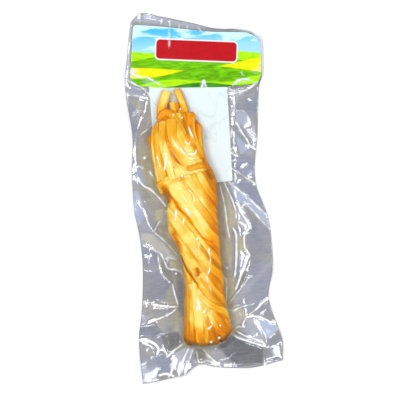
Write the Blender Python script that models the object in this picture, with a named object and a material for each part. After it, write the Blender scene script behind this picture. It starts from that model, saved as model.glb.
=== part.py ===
"""A vacuum-packed hank of braided string cheese, lying flat with its shown side up.

Metres, +Z up, the pack's top towards +Y, the origin under the middle of its bounding box. Four solids:
the sealed pouch with an open bed, the twisted hank in that bed, the header card and the plain back label.
The tables below are in millimetres, and every mesh is scaled to metres when it is finished.
"""

import math

import bmesh
import bpy
from mathutils import Matrix

MM = 0.001
GAP = 0.3  # between neighbouring pieces

# Pouch: outline of the sealed film, seen from above. Sides are (y, x), ends are (x, y).
POUCH_LEFT = [
    (-149.9, -56.5), (-128.0, -57.8), (-110.0, -57.6), (-98.0, -55.4), (-80.0, -53.0), (-50.0, -51.5),
    (-30.0, -52.8), (-10.0, -55.8), (20.0, -56.0), (50.0, -54.0), (80.0, -57.0), (98.0, -57.6),
    (114.0, -55.0), (135.0, -51.8), (143.5, -50.0),
]
POUCH_RIGHT = [
    (-137.0, 57.3), (-120.0, 57.6), (-100.0, 51.8), (-84.0, 48.7), (-62.0, 53.2), (-40.0, 53.5),
    (-20.0, 51.5), (10.0, 43.2), (50.0, 47.2), (85.0, 50.5), (96.0, 54.5), (115.0, 55.8), (125.0, 55.5),
]
POUCH_BOTTOM = [
    (-56.5, -149.9), (-44.0, -148.4), (-30.0, -145.5), (-22.0, -144.0), (-14.0, -138.4), (-8.0, -136.8),
    (2.0, -139.4), (14.0, -140.8), (34.0, -141.6), (57.3, -137.0),
]
POUCH_TOP = [
    (-50.0, 143.5), (-42.0, 149.7), (-26.0, 146.2), (0.0, 139.4), (18.0, 134.2), (42.0, 131.8),
    (55.5, 125.0),
]
POUCH_COLUMNS = 24
POUCH_ROWS = 46
POUCH_FLOOR = 0.8  # under the label
POUCH_LAYER = 2.5  # over the label and round the card
POUCH_EDGE = 1.0  # at the outline
POUCH_EDGE_WIDTH = 7.0  # from the edge's thickness to the layer's
TENT_SHARE = 0.55  # of the hank's height, where the film leaves its side
TENT_REACH = 8.0  # how far the film stays up beside the hank
RIPPLE = 0.45

# Label and card: flat plates that lie one above the other where they meet.
LABEL_THICKNESS = 0.3
LABEL_OUTLINE = [(-38.5, 94.0), (24.7, 91.0), (24.9, 10.0), (-36.5, 8.0)]
LABEL_RADIUS = 1.5
CARD_THICKNESS = 0.4
CARD_OUTLINE = [
    (-48.5, 140.6), (-25.0, 137.8), (0.0, 133.6), (16.0, 131.2), (44.0, 129.4), (53.8, 122.5),
    (52.8, 94.0), (48.5, 87.2), (25.0, 86.2), (0.0, 87.2), (-30.0, 88.6), (-48.0, 91.2), (-53.4, 96.0),
]
CARD_RADIUS = 3.0
CORNER_STEPS = 3

LABEL_Z = POUCH_FLOOR + GAP
CARD_Z = LABEL_Z + LABEL_THICKNESS + GAP
BED_Z = CARD_Z - GAP

# Hank: cross-sections from its flared lower end to the shoulder of its sleeve (y, left x, right x, height).
HANK_SECTIONS = [
    (-121.5, -19.5, 14.0, 17.0), (-115.0, -21.8, 18.3, 22.0), (-104.0, -20.5, 17.0, 24.0),
    (-87.0, -19.2, 13.6, 25.0), (-70.0, -18.3, 13.0, 25.5), (-52.0, -19.5, 12.0, 26.0),
    (-40.0, -23.0, 11.5, 27.0), (-28.0, -28.0, 11.5, 28.0), (-12.0, -29.0, 11.5, 28.0),
    (-2.0, -29.0, 12.0, 28.0), (6.0, -35.0, 12.0, 27.5), (16.0, -37.0, 9.5, 26.5),
    (27.0, -38.0, 4.5, 25.0), (38.0, -39.0, 2.6, 24.0), (48.0, -40.0, 1.5, 22.0),
    (55.0, -37.0, 0.0, 18.0), (61.0, -32.5, -3.0, 13.0), (66.0, -30.5, -6.5, 9.0),
]
HANK_STRANDS = 13
HANK_COLUMNS = 4 * HANK_STRANDS
HANK_ROWS = 56
HANK_LEAD = 126.0  # length of one full turn of the twisted strands
TWIST_TOP = 2.0  # above this the strands run straight, as a sleeve folded down over the rope
GROOVE_DEPTH = (1.3, 0.45, 0.0, 0.45)  # across one strand, from the groove over its crown
STRAND_UNEVENNESS = 0.5
RAGGED_ENDS = 1.0
FADE = 18.0  # below the shoulder, where the grooves fade out and the strands' ends grow ragged
CUFF_Y = 17.0  # the sleeve's rolled lower rim, at the hank's middle
CUFF_SLOPE = 0.26
CUFF_DEPTH = 1.6
CUFF_BELOW = 9.0  # how far the neck under the rim stays tucked in
CUFF_EDGE = 1.2  # how sharply the rim turns out again
END_CAP = ((0.0, 2.6), (0.5, 1.4), (0.88, 0.4))  # lower end: (share of the section, how far it sinks in)
SHOULDER_BULGE = 0.4  # of the upper end
SECTION_SQUARENESS = 0.9  # below 1 the section is fuller than an ellipse

# Sticks: strand ends that stand out of the sleeve (centre line x, y, height above the bed), and their radius.
STICKS = {
    "left": (
        2.8,
        [(-27.0, 56.0, 6.5), (-29.5, 66.0, 5.6), (-28.8, 73.0, 4.2), (-26.4, 79.5, 3.3), (-23.9, 84.6, 3.0)],
    ),
    "middle": (
        2.2,
        [(-17.0, 56.0, 6.5), (-17.2, 66.0, 6.4), (-18.2, 71.0, 5.0), (-19.8, 75.6, 3.6)],
    ),
    "right": (
        2.6,
        [(-12.0, 56.0, 6.0), (-10.6, 66.0, 5.4), (-10.8, 72.5, 4.2), (-13.2, 79.0, 3.2), (-15.8, 84.8, 2.9)],
    ),
}
BED_CLEARANCE = 0.6  # round the hank's plain cross-section
BED_BEYOND = (1.5, 3.5)  # past the hank's lower end and its shoulder
BED_COLUMNS = 28
BED_ROWS = 34
STICK_BED = [(-35.0, 55.0), (-34.0, 74.0), (-29.0, 86.9), (-11.0, 86.9), (-5.5, 74.0), (-4.5, 55.0)]
ABOVE_ALL = 45.0  # top of every cutter


def along(table, key):
    """Row values at a key between a table's rows, on a smooth curve through them."""
    last = len(table) - 1
    row = 0
    while row < last - 1 and table[row + 1][0] < key:
        row += 1
    before = table[max(row - 1, 0)]
    start = table[row]
    end = table[row + 1]
    after = table[min(row + 2, last)]
    span = end[0] - start[0]
    t = min(max((key - start[0]) / span, 0.0), 1.0)
    values = []
    for column in range(1, len(start)):
        slope_in = (end[column] - before[column]) / (end[0] - before[0]) * span
        slope_out = (after[column] - start[column]) / (after[0] - start[0]) * span
        values.append(
            start[column] * (1 + 2 * t) * (1 - t) ** 2
            + slope_in * t * (1 - t) ** 2
            + end[column] * t * t * (3 - 2 * t)
            + slope_out * t * t * (t - 1)
        )
    return values


def smooth_step(low, high, value):
    t = min(max((value - low) / (high - low), 0.0), 1.0)
    return t * t * (3 - 2 * t)


def material(name, color, roughness):
    made = bpy.data.materials.new(name)
    made.use_nodes = True
    shader = made.node_tree.nodes["Principled BSDF"]
    shader.inputs["Base Color"].default_value = (*color, 1.0)
    shader.inputs["Roughness"].default_value = roughness
    shader.inputs["Metallic"].default_value = 0.0
    made.diffuse_color = (*color, 1.0)
    return made


def finished(bm, name, collection, look=None):
    """The mesh as an object in metres, shaded smooth with sharp folds."""
    bmesh.ops.recalc_face_normals(bm, faces=bm.faces)
    bmesh.ops.transform(bm, matrix=Matrix.Scale(MM, 4), verts=bm.verts)
    mesh = bpy.data.meshes.new(name)
    bm.to_mesh(mesh)
    bm.free()
    mesh.shade_smooth()
    mesh.set_sharp_from_angle(angle=math.radians(50))
    made = bpy.data.objects.new(name, mesh)
    collection.objects.link(made)
    if look:
        mesh.materials.append(look)
    return made


def hide(cutter):
    cutter.hide_render = True
    cutter.display_type = "WIRE"
    return cutter


def combine(target, other, operation):
    modifier = target.modifiers.new(f"{operation.lower()} {other.name}", "BOOLEAN")
    modifier.operation = operation
    modifier.object = other


def rounded(corners, radius):
    """A closed outline through the corners, each turned into a small arc."""
    points = []
    for index, corner in enumerate(corners):
        before = corners[index - 1]
        after = corners[(index + 1) % len(corners)]
        back = math.dist(corner, before)
        ahead = math.dist(corner, after)
        start = [c + (b - c) * radius / back for c, b in zip(corner, before)]
        end = [c + (a - c) * radius / ahead for c, a in zip(corner, after)]
        for step in range(CORNER_STEPS + 1):
            t = step / CORNER_STEPS
            weights = ((1 - t) ** 2, 2 * t * (1 - t), t * t)
            near = (start, corner, end)
            points.append([sum(w * p[axis] for w, p in zip(weights, near)) for axis in (0, 1)])
    return points


def grown(outline, margin):
    """The outline stretched about its middle by a margin on every side."""
    low = [min(point[axis] for point in outline) for axis in (0, 1)]
    high = [max(point[axis] for point in outline) for axis in (0, 1)]
    result = []
    for point in outline:
        stretched = []
        for axis in (0, 1):
            middle = (low[axis] + high[axis]) / 2
            share = 1 + 2 * margin / (high[axis] - low[axis])
            stretched.append(middle + (point[axis] - middle) * share)
        result.append(stretched)
    return result


def plate(name, outline, bottom, top, collection, look=None):
    """A flat plate of the given outline between two heights."""
    curve = bpy.data.curves.new(name, "CURVE")
    curve.dimensions = "2D"
    curve.fill_mode = "BOTH"
    curve.extrude = (top - bottom) / 2
    spline = curve.splines.new("POLY")
    spline.points.add(len(outline) - 1)
    for point, (x, y) in zip(spline.points, outline):
        point.co = (x, y, 0.0, 1.0)
    spline.use_cyclic_u = True
    holder = bpy.data.objects.new(name, curve)
    collection.objects.link(holder)
    flat = bpy.data.meshes.new_from_object(holder.evaluated_get(bpy.context.evaluated_depsgraph_get()))
    bpy.data.objects.remove(holder)
    bm = bmesh.new()
    bm.from_mesh(flat)
    bpy.data.meshes.remove(flat)
    bmesh.ops.remove_doubles(bm, verts=bm.verts, dist=0.001)
    bmesh.ops.translate(bm, verts=bm.verts, vec=(0.0, 0.0, (top + bottom) / 2))
    return finished(bm, name, collection, look)


def tent_height(x, y):
    """Height of the film where it comes down from the hank's sides to the flat skirt."""
    low, high = HANK_SECTIONS[0][0], HANK_SECTIONS[-1][0]
    left, right, height = along(HANK_SECTIONS, min(max(y, low), high))
    beside = max(left - x, x - right, 0.0)
    beyond = max(low - y, y - high, 0.0)
    return TENT_SHARE * height * math.exp(-math.hypot(beside, beyond) / TENT_REACH)


def pouch_point(u, v):
    """A point of the pouch's upper face, spread between the four edges of the outline."""
    bottom_x = POUCH_BOTTOM[0][0] + u * (POUCH_BOTTOM[-1][0] - POUCH_BOTTOM[0][0])
    top_x = POUCH_TOP[0][0] + u * (POUCH_TOP[-1][0] - POUCH_TOP[0][0])
    left_y = POUCH_LEFT[0][0] + v * (POUCH_LEFT[-1][0] - POUCH_LEFT[0][0])
    right_y = POUCH_RIGHT[0][0] + v * (POUCH_RIGHT[-1][0] - POUCH_RIGHT[0][0])
    bottom = (bottom_x, along(POUCH_BOTTOM, bottom_x)[0])
    top = (top_x, along(POUCH_TOP, top_x)[0])
    left = (along(POUCH_LEFT, left_y)[0], left_y)
    right = (along(POUCH_RIGHT, right_y)[0], right_y)
    corners = (POUCH_BOTTOM[0], POUCH_BOTTOM[-1], POUCH_TOP[0], POUCH_TOP[-1])
    shares = ((1 - u) * (1 - v), u * (1 - v), (1 - u) * v, u * v)
    x, y = (
        (1 - v) * bottom[axis] + v * top[axis] + (1 - u) * left[axis] + u * right[axis]
        - sum(share * corner[axis] for share, corner in zip(shares, corners))
        for axis in (0, 1)
    )
    to_edge = min(x - left[0], right[0] - x, y - bottom[1], top[1] - y)
    inside = smooth_step(0.0, POUCH_EDGE_WIDTH, to_edge)
    ripple = RIPPLE * (1 + math.sin(0.31 * x + 0.11 * y) * math.cos(0.17 * y - 0.09 * x)) * inside
    return x, y, POUCH_EDGE + inside * (POUCH_LAYER - POUCH_EDGE + tent_height(x, y)) + ripple


def build_pouch(collection, cutters, look):
    """The film's outer form with its flat underside, cut for the hank, the card and the label."""
    bm = bmesh.new()
    bmesh.ops.create_grid(bm, x_segments=POUCH_COLUMNS, y_segments=POUCH_ROWS, size=1.0)
    upper = list(bm.verts)
    base = bmesh.ops.extrude_face_region(bm, geom=list(bm.faces), use_keep_orig=True)
    lower = [item for item in base["geom"] if isinstance(item, bmesh.types.BMVert)]
    flat_faces = [item for item in base["geom"] if isinstance(item, bmesh.types.BMFace)]
    for vert in upper:
        vert.co = pouch_point((vert.co.x + 1) / 2, (vert.co.y + 1) / 2)
    for vert in lower:
        x, y, _ = pouch_point((vert.co.x + 1) / 2, (vert.co.y + 1) / 2)
        vert.co = (x, y, 0.0)
    bmesh.ops.dissolve_faces(bm, faces=flat_faces, use_verts=True)
    pouch = finished(bm, "pouch", collection, look)

    card = grown(rounded(CARD_OUTLINE, CARD_RADIUS), GAP)
    label = grown(rounded(LABEL_OUTLINE, LABEL_RADIUS), GAP)
    beds = [
        plate("label slot", label, POUCH_FLOOR, LABEL_Z + LABEL_THICKNESS + GAP, cutters),
        plate("card recess", card, CARD_Z - GAP, ABOVE_ALL, cutters),
        plate("stick bed", STICK_BED, BED_Z, ABOVE_ALL, cutters),
        hank_bed(cutters),
    ]
    for bed in beds:
        combine(pouch, hide(bed), "DIFFERENCE")
    return pouch


def section_point(y, angle, margin, share=1.0, inset=0.0):
    """A point on the hank's plain cross-section, or on one grown by a margin or sunk by an inset."""
    left, right, height = along(HANK_SECTIONS, y)
    across = math.cos(angle)
    up = math.sin(angle)
    half_width = (right - left) / 2 + margin
    half_height = height / 2 + margin
    full_across = math.copysign(abs(across) ** SECTION_SQUARENESS, across)
    full_up = math.copysign(abs(up) ** SECTION_SQUARENESS, up)
    x = (left + right) / 2 + share * (half_width - inset) * full_across
    z = CARD_Z + height / 2 + share * (half_height - inset) * full_up
    return x, z


def wrapped_grid(columns, rows, place):
    """A grid rolled into a tube along Y and closed where its first and last rows shrink to points."""
    bm = bmesh.new()
    bmesh.ops.create_grid(bm, x_segments=columns, y_segments=rows, size=1.0)
    for vert in bm.verts:
        column = round((vert.co.x + 1) / 2 * columns) % columns
        row = round((vert.co.y + 1) / 2 * rows)
        vert.co = place(column, row)
    bmesh.ops.remove_doubles(bm, verts=bm.verts, dist=0.001)
    return bm


def hank_bed(cutters):
    """The hank's plain outline and underside, open to the top and closed flat at both ends."""
    hank_low, hank_high = HANK_SECTIONS[0][0], HANK_SECTIONS[-1][0]
    low = hank_low - BED_BEYOND[0]
    high = hank_high + BED_BEYOND[1]

    def place(column, row):
        inner_row = min(max(row, 1), BED_ROWS - 1)
        y = low + (high - low) * (inner_row - 1) / (BED_ROWS - 2)
        on_hank = min(max(y, hank_low), hank_high)
        if inner_row != row:
            left, right, _ = along(HANK_SECTIONS, on_hank)
            return (left + right) / 2, y, ABOVE_ALL / 2
        x, z = section_point(on_hank, 2 * math.pi * column / BED_COLUMNS, BED_CLEARANCE)
        if 0 < column < BED_COLUMNS / 2:
            return x, y, ABOVE_ALL
        return x, y, max(z, BED_Z)

    return finished(wrapped_grid(BED_COLUMNS, BED_ROWS, place), "hank bed", cutters)


def hank_point(column, row):
    """A point of the hank: twisted strands below, straight strands in the sleeve above."""
    caps = len(END_CAP)
    low, high = HANK_SECTIONS[0][0], HANK_SECTIONS[-1][0]
    share = 1.0
    if row < caps:
        share, inside = END_CAP[row]
        y = low + inside
    elif row > HANK_ROWS - caps:
        share = END_CAP[HANK_ROWS - row][0]
        y = high + SHOULDER_BULGE * (1 - share)
    else:
        y = low + (high - low) * (row - caps) / (HANK_ROWS - 2 * caps)
    strand, across = divmod(column, 4)
    angle = 2 * math.pi * (column / HANK_COLUMNS + min(y - TWIST_TOP, 0.0) / HANK_LEAD)
    plain_x, _ = section_point(y, angle, 0.0)
    middle = sum(along(HANK_SECTIONS, y)[:2]) / 2
    rim = y - (CUFF_Y + CUFF_SLOPE * (plain_x - middle))
    tucked = smooth_step(-CUFF_BELOW, -CUFF_EDGE, rim) * smooth_step(CUFF_EDGE, -CUFF_EDGE, rim)
    wander = math.sin(1.7 * strand + 0.045 * y) * STRAND_UNEVENNESS
    relief = smooth_step(high + FADE / 2, high - FADE, y)
    inset = relief * (GROOVE_DEPTH[across] + STRAND_UNEVENNESS + wander) + CUFF_DEPTH * tucked
    x, z = section_point(y, angle, 0.0, share, inset)
    ragged = RAGGED_ENDS * math.sin(2.3 * strand) * smooth_step(high - FADE, high, y)
    return x, y + ragged * share, max(z, CARD_Z)


def build_stick(name, radius, route, collection):
    """A strand's free end: a slightly flattened rod with a blunt cut tip."""
    curve = bpy.data.curves.new(name, "CURVE")
    curve.dimensions = "3D"
    curve.bevel_depth = radius
    curve.bevel_resolution = 2
    curve.use_fill_caps = True
    spline = curve.splines.new("POLY")
    spline.points.add(len(route) - 1)
    for point, (x, y, z) in zip(spline.points, route):
        point.co = (x, y, CARD_Z + z, 1.0)
    holder = bpy.data.objects.new(name, curve)
    collection.objects.link(holder)
    tube = bpy.data.meshes.new_from_object(holder.evaluated_get(bpy.context.evaluated_depsgraph_get()))
    bpy.data.objects.remove(holder)
    bm = bmesh.new()
    bm.from_mesh(tube)
    bpy.data.meshes.remove(tube)
    bmesh.ops.remove_doubles(bm, verts=bm.verts, dist=0.001)
    return finished(bm, name, collection)


def build_hank(collection, cutters, look):
    cheese = finished(wrapped_grid(HANK_COLUMNS, HANK_ROWS, hank_point), "cheese", collection, look)
    for side, (radius, route) in STICKS.items():
        combine(cheese, hide(build_stick(f"{side} stick", radius, route, cutters)), "UNION")
    return cheese


def main():
    for old in list(bpy.data.objects):
        bpy.data.objects.remove(old)
    parts = bpy.data.collections.new("braided string cheese pack")
    cutters = bpy.data.collections.new("cutters and joined shapes")
    bpy.context.scene.collection.children.link(parts)
    bpy.context.scene.collection.children.link(cutters)

    film = material("clear film", (0.36, 0.38, 0.42), 0.12)
    cheese = material("smoked cheese", (0.93, 0.58, 0.18), 0.42)
    card = material("printed card", (0.20, 0.62, 0.90), 0.35)
    paper = material("white paper", (0.88, 0.92, 0.94), 0.6)

    build_pouch(parts, cutters, film)
    build_hank(parts, cutters, cheese)
    card_outline = rounded(CARD_OUTLINE, CARD_RADIUS)
    plate("header_card", card_outline, CARD_Z, CARD_Z + CARD_THICKNESS, parts, card)
    label_outline = rounded(LABEL_OUTLINE, LABEL_RADIUS)
    plate("back_label", label_outline, LABEL_Z, LABEL_Z + LABEL_THICKNESS, parts, paper)


if __name__ == "__main__":
    main()
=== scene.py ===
"""A vacuum-packed hank of braided string cheese, laid out as an add-on that models one pack."""

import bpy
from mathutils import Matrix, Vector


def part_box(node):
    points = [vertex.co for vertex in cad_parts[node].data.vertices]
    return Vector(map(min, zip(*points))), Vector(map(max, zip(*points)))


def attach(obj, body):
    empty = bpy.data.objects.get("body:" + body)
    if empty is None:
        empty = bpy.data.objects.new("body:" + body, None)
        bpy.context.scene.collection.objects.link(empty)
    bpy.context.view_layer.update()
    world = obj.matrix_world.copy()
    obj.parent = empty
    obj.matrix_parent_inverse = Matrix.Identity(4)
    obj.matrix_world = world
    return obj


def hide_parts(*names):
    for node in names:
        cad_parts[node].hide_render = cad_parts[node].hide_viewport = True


bl_info = {
    "name": "Vacuum-packed String Cheese",
    "version": (1, 0, 0),
    "blender": (4, 5, 0),
    "location": "View3D > Sidebar > Cheese Pack",
    "description": "Models a hank of braided string cheese in a clear vacuum pouch with its header card",
    "category": "Add Mesh",
}

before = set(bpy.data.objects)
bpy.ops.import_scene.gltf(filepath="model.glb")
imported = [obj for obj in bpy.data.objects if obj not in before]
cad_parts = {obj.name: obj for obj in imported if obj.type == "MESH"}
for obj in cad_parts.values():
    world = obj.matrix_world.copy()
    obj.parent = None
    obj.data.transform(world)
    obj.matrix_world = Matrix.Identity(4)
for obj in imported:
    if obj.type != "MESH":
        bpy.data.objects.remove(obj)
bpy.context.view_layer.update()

import math
import random

import bmesh
import bpy
import numpy as np
from bpy.props import FloatProperty, FloatVectorProperty, IntProperty, PointerProperty
from bpy.types import Operator, Panel, PropertyGroup
from mathutils import Matrix, Vector
from mathutils.bvhtree import BVHTree

MM = 0.001

# Every table below is in millimetres, in the frame's own axes.
# Outline of the sealed film: sides are (y, x), ends are (x, y).
POUCH_LEFT = [
    (-149.9, -56.5), (-128.0, -57.8), (-110.0, -57.6), (-98.0, -55.4), (-80.0, -53.0), (-50.0, -51.5),
    (-30.0, -52.8), (-10.0, -55.8), (20.0, -56.0), (50.0, -54.0), (80.0, -57.0), (98.0, -57.6),
    (114.0, -55.0), (135.0, -51.8), (143.5, -50.0),
]
POUCH_RIGHT = [
    (-137.0, 57.3), (-120.0, 57.6), (-100.0, 51.8), (-84.0, 48.7), (-62.0, 53.2), (-40.0, 53.5),
    (-20.0, 51.5), (10.0, 43.2), (50.0, 47.2), (85.0, 50.5), (96.0, 54.5), (115.0, 55.8), (125.0, 55.5),
]
POUCH_BOTTOM = [
    (-56.5, -149.9), (-44.0, -148.4), (-30.0, -145.5), (-22.0, -144.0), (-14.0, -138.4), (-8.0, -136.8),
    (2.0, -139.4), (14.0, -140.8), (34.0, -141.6), (57.3, -137.0),
]
POUCH_TOP = [
    (-50.0, 143.5), (-42.0, 149.7), (-26.0, 146.2), (0.0, 139.4), (18.0, 134.2), (42.0, 131.8),
    (55.5, 125.0),
]
POUCH_EDGES = {"left": POUCH_LEFT, "right": POUCH_RIGHT, "bottom": POUCH_BOTTOM, "top": POUCH_TOP}

# The hank's cross-sections from its flared lower end to the shoulder of its sleeve (y, left x, right x, height).
HANK_SECTIONS = [
    (-121.5, -19.5, 14.0, 17.0), (-115.0, -21.8, 18.3, 22.0), (-104.0, -20.5, 17.0, 24.0),
    (-87.0, -19.2, 13.6, 25.0), (-70.0, -18.3, 13.0, 25.5), (-52.0, -19.5, 12.0, 26.0),
    (-40.0, -23.0, 11.5, 27.0), (-28.0, -28.0, 11.5, 28.0), (-12.0, -29.0, 11.5, 28.0),
    (-2.0, -29.0, 12.0, 28.0), (6.0, -35.0, 12.0, 27.5), (16.0, -37.0, 9.8, 26.5),
    (27.0, -38.4, 5.0, 25.0), (38.0, -40.0, 3.2, 24.0), (48.0, -40.8, 2.6, 22.0),
    (55.0, -36.8, 2.0, 18.5), (61.0, -33.0, -1.0, 14.0), (66.0, -32.4, -3.4, 10.5),
    (71.0, -31.4, -9.0, 7.5),
]
HANK_BED = 1.7
HANK_LEAD = 130.0
SIDE_TURN = 150.0
SECTION_SQUARENESS = 0.9
# A strand's own section is a squared oval; its ends close in steps of these sizes.
STRAND_SQUARENESS = 0.60
ROUND_END = (0.70, 0.90, 0.97, 1.0)
BLUNT_END = (0.93, 1.0)
# About the size of one cell of the film's grid.
FILM_CELL = 0.72

# Strands, seen from above: route, half width, half thickness, lift over the plain hank, tone (0 pale to 1 amber).
# A route that starts or ends at the hank's side is carried on round it.
ROPE_STRANDS = [
    # the upper ply, from under the cuff to the right side
    # Tone 1.50 paints the shadow under the cuff on this strand.
    ([(-33.0, 9.0), (-30.4, 1.0), (-28.4, -8.0), (-27.6, -18.0), (-25.6, -30.0)], 3.6, 2.4, -1.2, 1.50),
    ([(-21.8, 11.5), (-17.8, 2.4), (-12.8, -6.8), (-7.0, -16.2), (-1.2, -25.2), (4.8, -33.6), (11.2, -42.0)], 5.1, 2.7, 1.4, -0.26),
    ([(-16.5, 15.5), (-11.2, 5.0), (-5.8, -4.4), (0.0, -13.8), (5.6, -22.6), (11.4, -31.6)], 3.1, 2.4, 1.0, 0.45),
    ([(-12.6, 16.5), (-7.4, 6.6), (-2.0, -2.8), (3.8, -12.0), (8.8, -20.2), (11.5, -25.5)], 3.3, 2.5, 1.0, 0.06),
    ([(-7.6, 17.0), (-2.8, 7.6), (2.4, -1.4), (7.4, -10.4), (11.5, -18.5)], 3.0, 2.4, 0.9, 0.70),
    ([(-3.2, 18.0), (1.6, 9.0), (6.4, 0.6), (11.8, -9.8)], 3.3, 2.4, 0.9, 0.16),
    ([(1.6, 19.0), (6.0, 10.5), (12.0, -1.5)], 3.0, 2.4, 0.8, 0.80),
    ([(6.4, 18.0), (9.0, 12.0), (12.0, 6.0)], 2.8, 2.3, 0.5, 0.55),
    # the middle ply, between the two long seams
    ([(-29.0, -1.0), (-23.5, -11.4), (-16.3, -19.6), (-9.3, -28.6), (-3.3, -37.4), (3.4, -45.2), (11.8, -56.0)], 3.2, 2.5, 0.3, 0.20),
    ([(-29.0, -8.0), (-23.4, -18.6), (-16.4, -28.4), (-10.0, -37.4), (-4.0, -46.6), (2.6, -55.0), (12.0, -66.5)], 4.6, 2.5, 0.8, -0.12),
    ([(-6.0, -38.0), (0.0, -46.5), (6.0, -55.0), (12.2, -63.0)], 1.8, 2.0, 0.9, 0.90),
    ([(-28.8, -15.5), (-22.6, -27.4), (-16.4, -37.6), (-10.6, -46.8), (-4.8, -56.0), (1.6, -65.2), (12.6, -77.5)], 3.1, 2.4, 0.5, 0.55),
    ([(-28.4, -20.5), (-22.5, -33.0), (-17.2, -43.6), (-12.2, -52.4), (-6.4, -61.6), (-0.8, -70.4), (5.4, -78.6), (13.4, -88.0)], 4.4, 2.5, 0.9, 0.10),
    ([(-8.6, -62.5), (-3.6, -70.0), (2.0, -77.5), (7.0, -84.0), (13.8, -91.0)], 2.2, 2.2, 0.7, 0.70),
    ([(-27.0, -25.0), (-22.0, -37.0), (-17.4, -48.0), (-13.4, -57.6), (-9.2, -65.6), (-4.4, -73.6), (0.8, -80.4), (6.4, -86.0), (14.0, -92.0)], 2.3, 2.3, 0.9, 0.50),
    # the lower ply, from the left side to the flared end
    ([(-25.8, -28.0), (-22.0, -42.0), (-19.6, -55.0), (-18.4, -70.0), (-18.6, -90.0), (-20.0, -106.0), (-21.2, -118.5)], 3.0, 2.4, -0.9, 1.45),
    ([(-18.8, -55.0), (-16.2, -66.0), (-15.8, -76.0), (-16.6, -90.0), (-17.6, -104.0), (-18.4, -119.5)], 2.6, 2.4, -0.2, 0.70),
    ([(-10.8, -84.0), (-11.0, -96.0), (-11.2, -106.0), (-10.8, -121.0)], 2.7, 2.3, 0.0, 0.75),
    ([(-16.0, -60.0), (-13.2, -72.0), (-13.4, -84.0), (-14.2, -96.0), (-14.8, -106.0), (-14.2, -120.5)], 2.3, 2.5, 0.4, 0.28),
    ([(-12.4, -67.0), (-9.0, -78.0), (-8.8, -90.0), (-8.6, -104.0), (-7.6, -121.0)], 4.0, 2.6, 0.6, -0.58),
    ([(-8.6, -73.0), (-5.4, -83.0), (-4.4, -92.0), (-4.2, -104.0), (-4.0, -121.4)], 2.9, 2.5, 0.4, -0.28),
    ([(-5.6, -78.5), (-2.2, -87.0), (-1.2, -96.0), (-1.0, -106.0), (-0.4, -121.6)], 2.8, 2.5, 0.2, 0.16),
    ([(1.6, -100.0), (3.2, -107.0), (4.2, -114.0), (4.6, -121.4)], 2.6, 2.4, -0.2, 0.95),
    ([(-1.0, -92.0), (2.0, -99.6), (5.4, -106.0), (8.4, -112.0), (10.4, -120.5)], 1.9, 2.4, 0.9, -0.45),
    ([(1.0, -90.5), (5.6, -97.0), (9.4, -103.0), (12.6, -110.0), (14.4, -120.5)], 3.2, 2.5, 0.3, 0.02),
    ([(6.0, -92.5), (10.6, -99.0), (14.4, -105.0), (17.0, -112.0), (18.4, -120.0)], 3.0, 2.4, 0.1, 0.10),
    ([(10.5, -94.0), (14.8, -101.0), (18.2, -107.5), (19.5, -116.0)], 2.6, 2.2, -0.5, 0.25),
    ([(-6.6, -78.6), (-2.4, -84.0), (1.6, -87.6), (6.4, -90.6), (13.4, -94.6)], 2.5, 2.0, 0.9, -0.36),
]
SLEEVE_STRANDS = [
    ([(-40.3, 49.5), (-40.4, 40.0), (-39.2, 30.0), (-37.6, 18.0), (-35.2, 8.0)], 2.7, 2.6, 0.2, 0.85),
    ([(-34.9, 58.5), (-36.9, 50.0), (-37.6, 42.0), (-37.4, 34.0), (-36.2, 22.0), (-34.0, 11.0)], 2.2, 2.3, 0.3, 0.05),
    ([(-32.4, 60.0), (-34.0, 49.0), (-34.0, 36.0), (-32.8, 22.0), (-31.0, 12.0)], 2.6, 2.6, 0.6, 0.32),
    ([(-30.2, 60.5), (-31.2, 47.0), (-31.2, 34.0), (-30.6, 22.0), (-29.6, 12.5)], 1.7, 2.2, 0.4, 0.90),
    ([(-28.6, 60.0), (-29.4, 49.0), (-28.4, 38.0), (-26.6, 29.0), (-24.0, 19.0), (-22.5, 13.0)], 3.0, 2.6, 1.2, -0.15),
    ([(-25.6, 60.5), (-26.0, 50.0), (-24.6, 41.0), (-21.6, 33.0), (-17.0, 26.0), (-11.0, 21.0)], 2.5, 2.3, 0.6, 0.62),
    ([(-21.8, 61.5), (-21.8, 52.0), (-19.8, 43.0), (-15.8, 34.5), (-9.6, 27.4), (-2.0, 23.0)], 3.7, 2.7, 1.2, 0.24),
    ([(-16.8, 66.0), (-16.6, 55.0), (-14.4, 46.0), (-10.4, 38.0), (-5.0, 31.0), (1.0, 26.0)], 3.3, 2.6, 1.1, 0.08),
    ([(-12.6, 66.5), (-11.6, 57.0), (-9.6, 49.0), (-6.4, 41.0), (-2.2, 33.5), (3.0, 26.0), (7.5, 18.0)], 2.3, 2.3, 0.3, 1.00),
    ([(-6.8, 66.5), (-6.4, 56.0), (-4.6, 46.0), (-1.6, 37.0), (1.6, 29.0)], 3.4, 2.7, 0.9, 0.46),
    ([(0.0, 56.5), (1.2, 47.0), (2.0, 37.0), (4.4, 28.0), (8.2, 19.0), (10.8, 12.0)], 2.8, 2.4, 0.3, 0.48),
    ([(-30.0, 69.0), (-30.8, 62.0), (-31.0, 50.0)], 2.8, 2.2, -0.6, 0.85),
    ([(-25.4, 68.5), (-25.4, 62.0), (-25.0, 50.0)], 3.4, 2.2, -0.5, 0.90),
    ([(-19.6, 69.5), (-19.6, 62.0), (-19.0, 50.0)], 3.2, 2.2, -0.9, 0.45),
    ([(-13.6, 70.0), (-13.6, 62.0), (-13.0, 50.0)], 3.2, 2.2, -0.9, 0.60),
    ([(-28.0, 48.0), (-26.0, 36.0), (-22.6, 27.0), (-17.5, 17.5)], 3.4, 2.3, -0.4, 0.20),
    ([(-20.6, 46.0), (-17.4, 34.0), (-11.6, 26.0), (-5.0, 19.5)], 3.4, 2.3, -0.3, 0.20),
]
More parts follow.
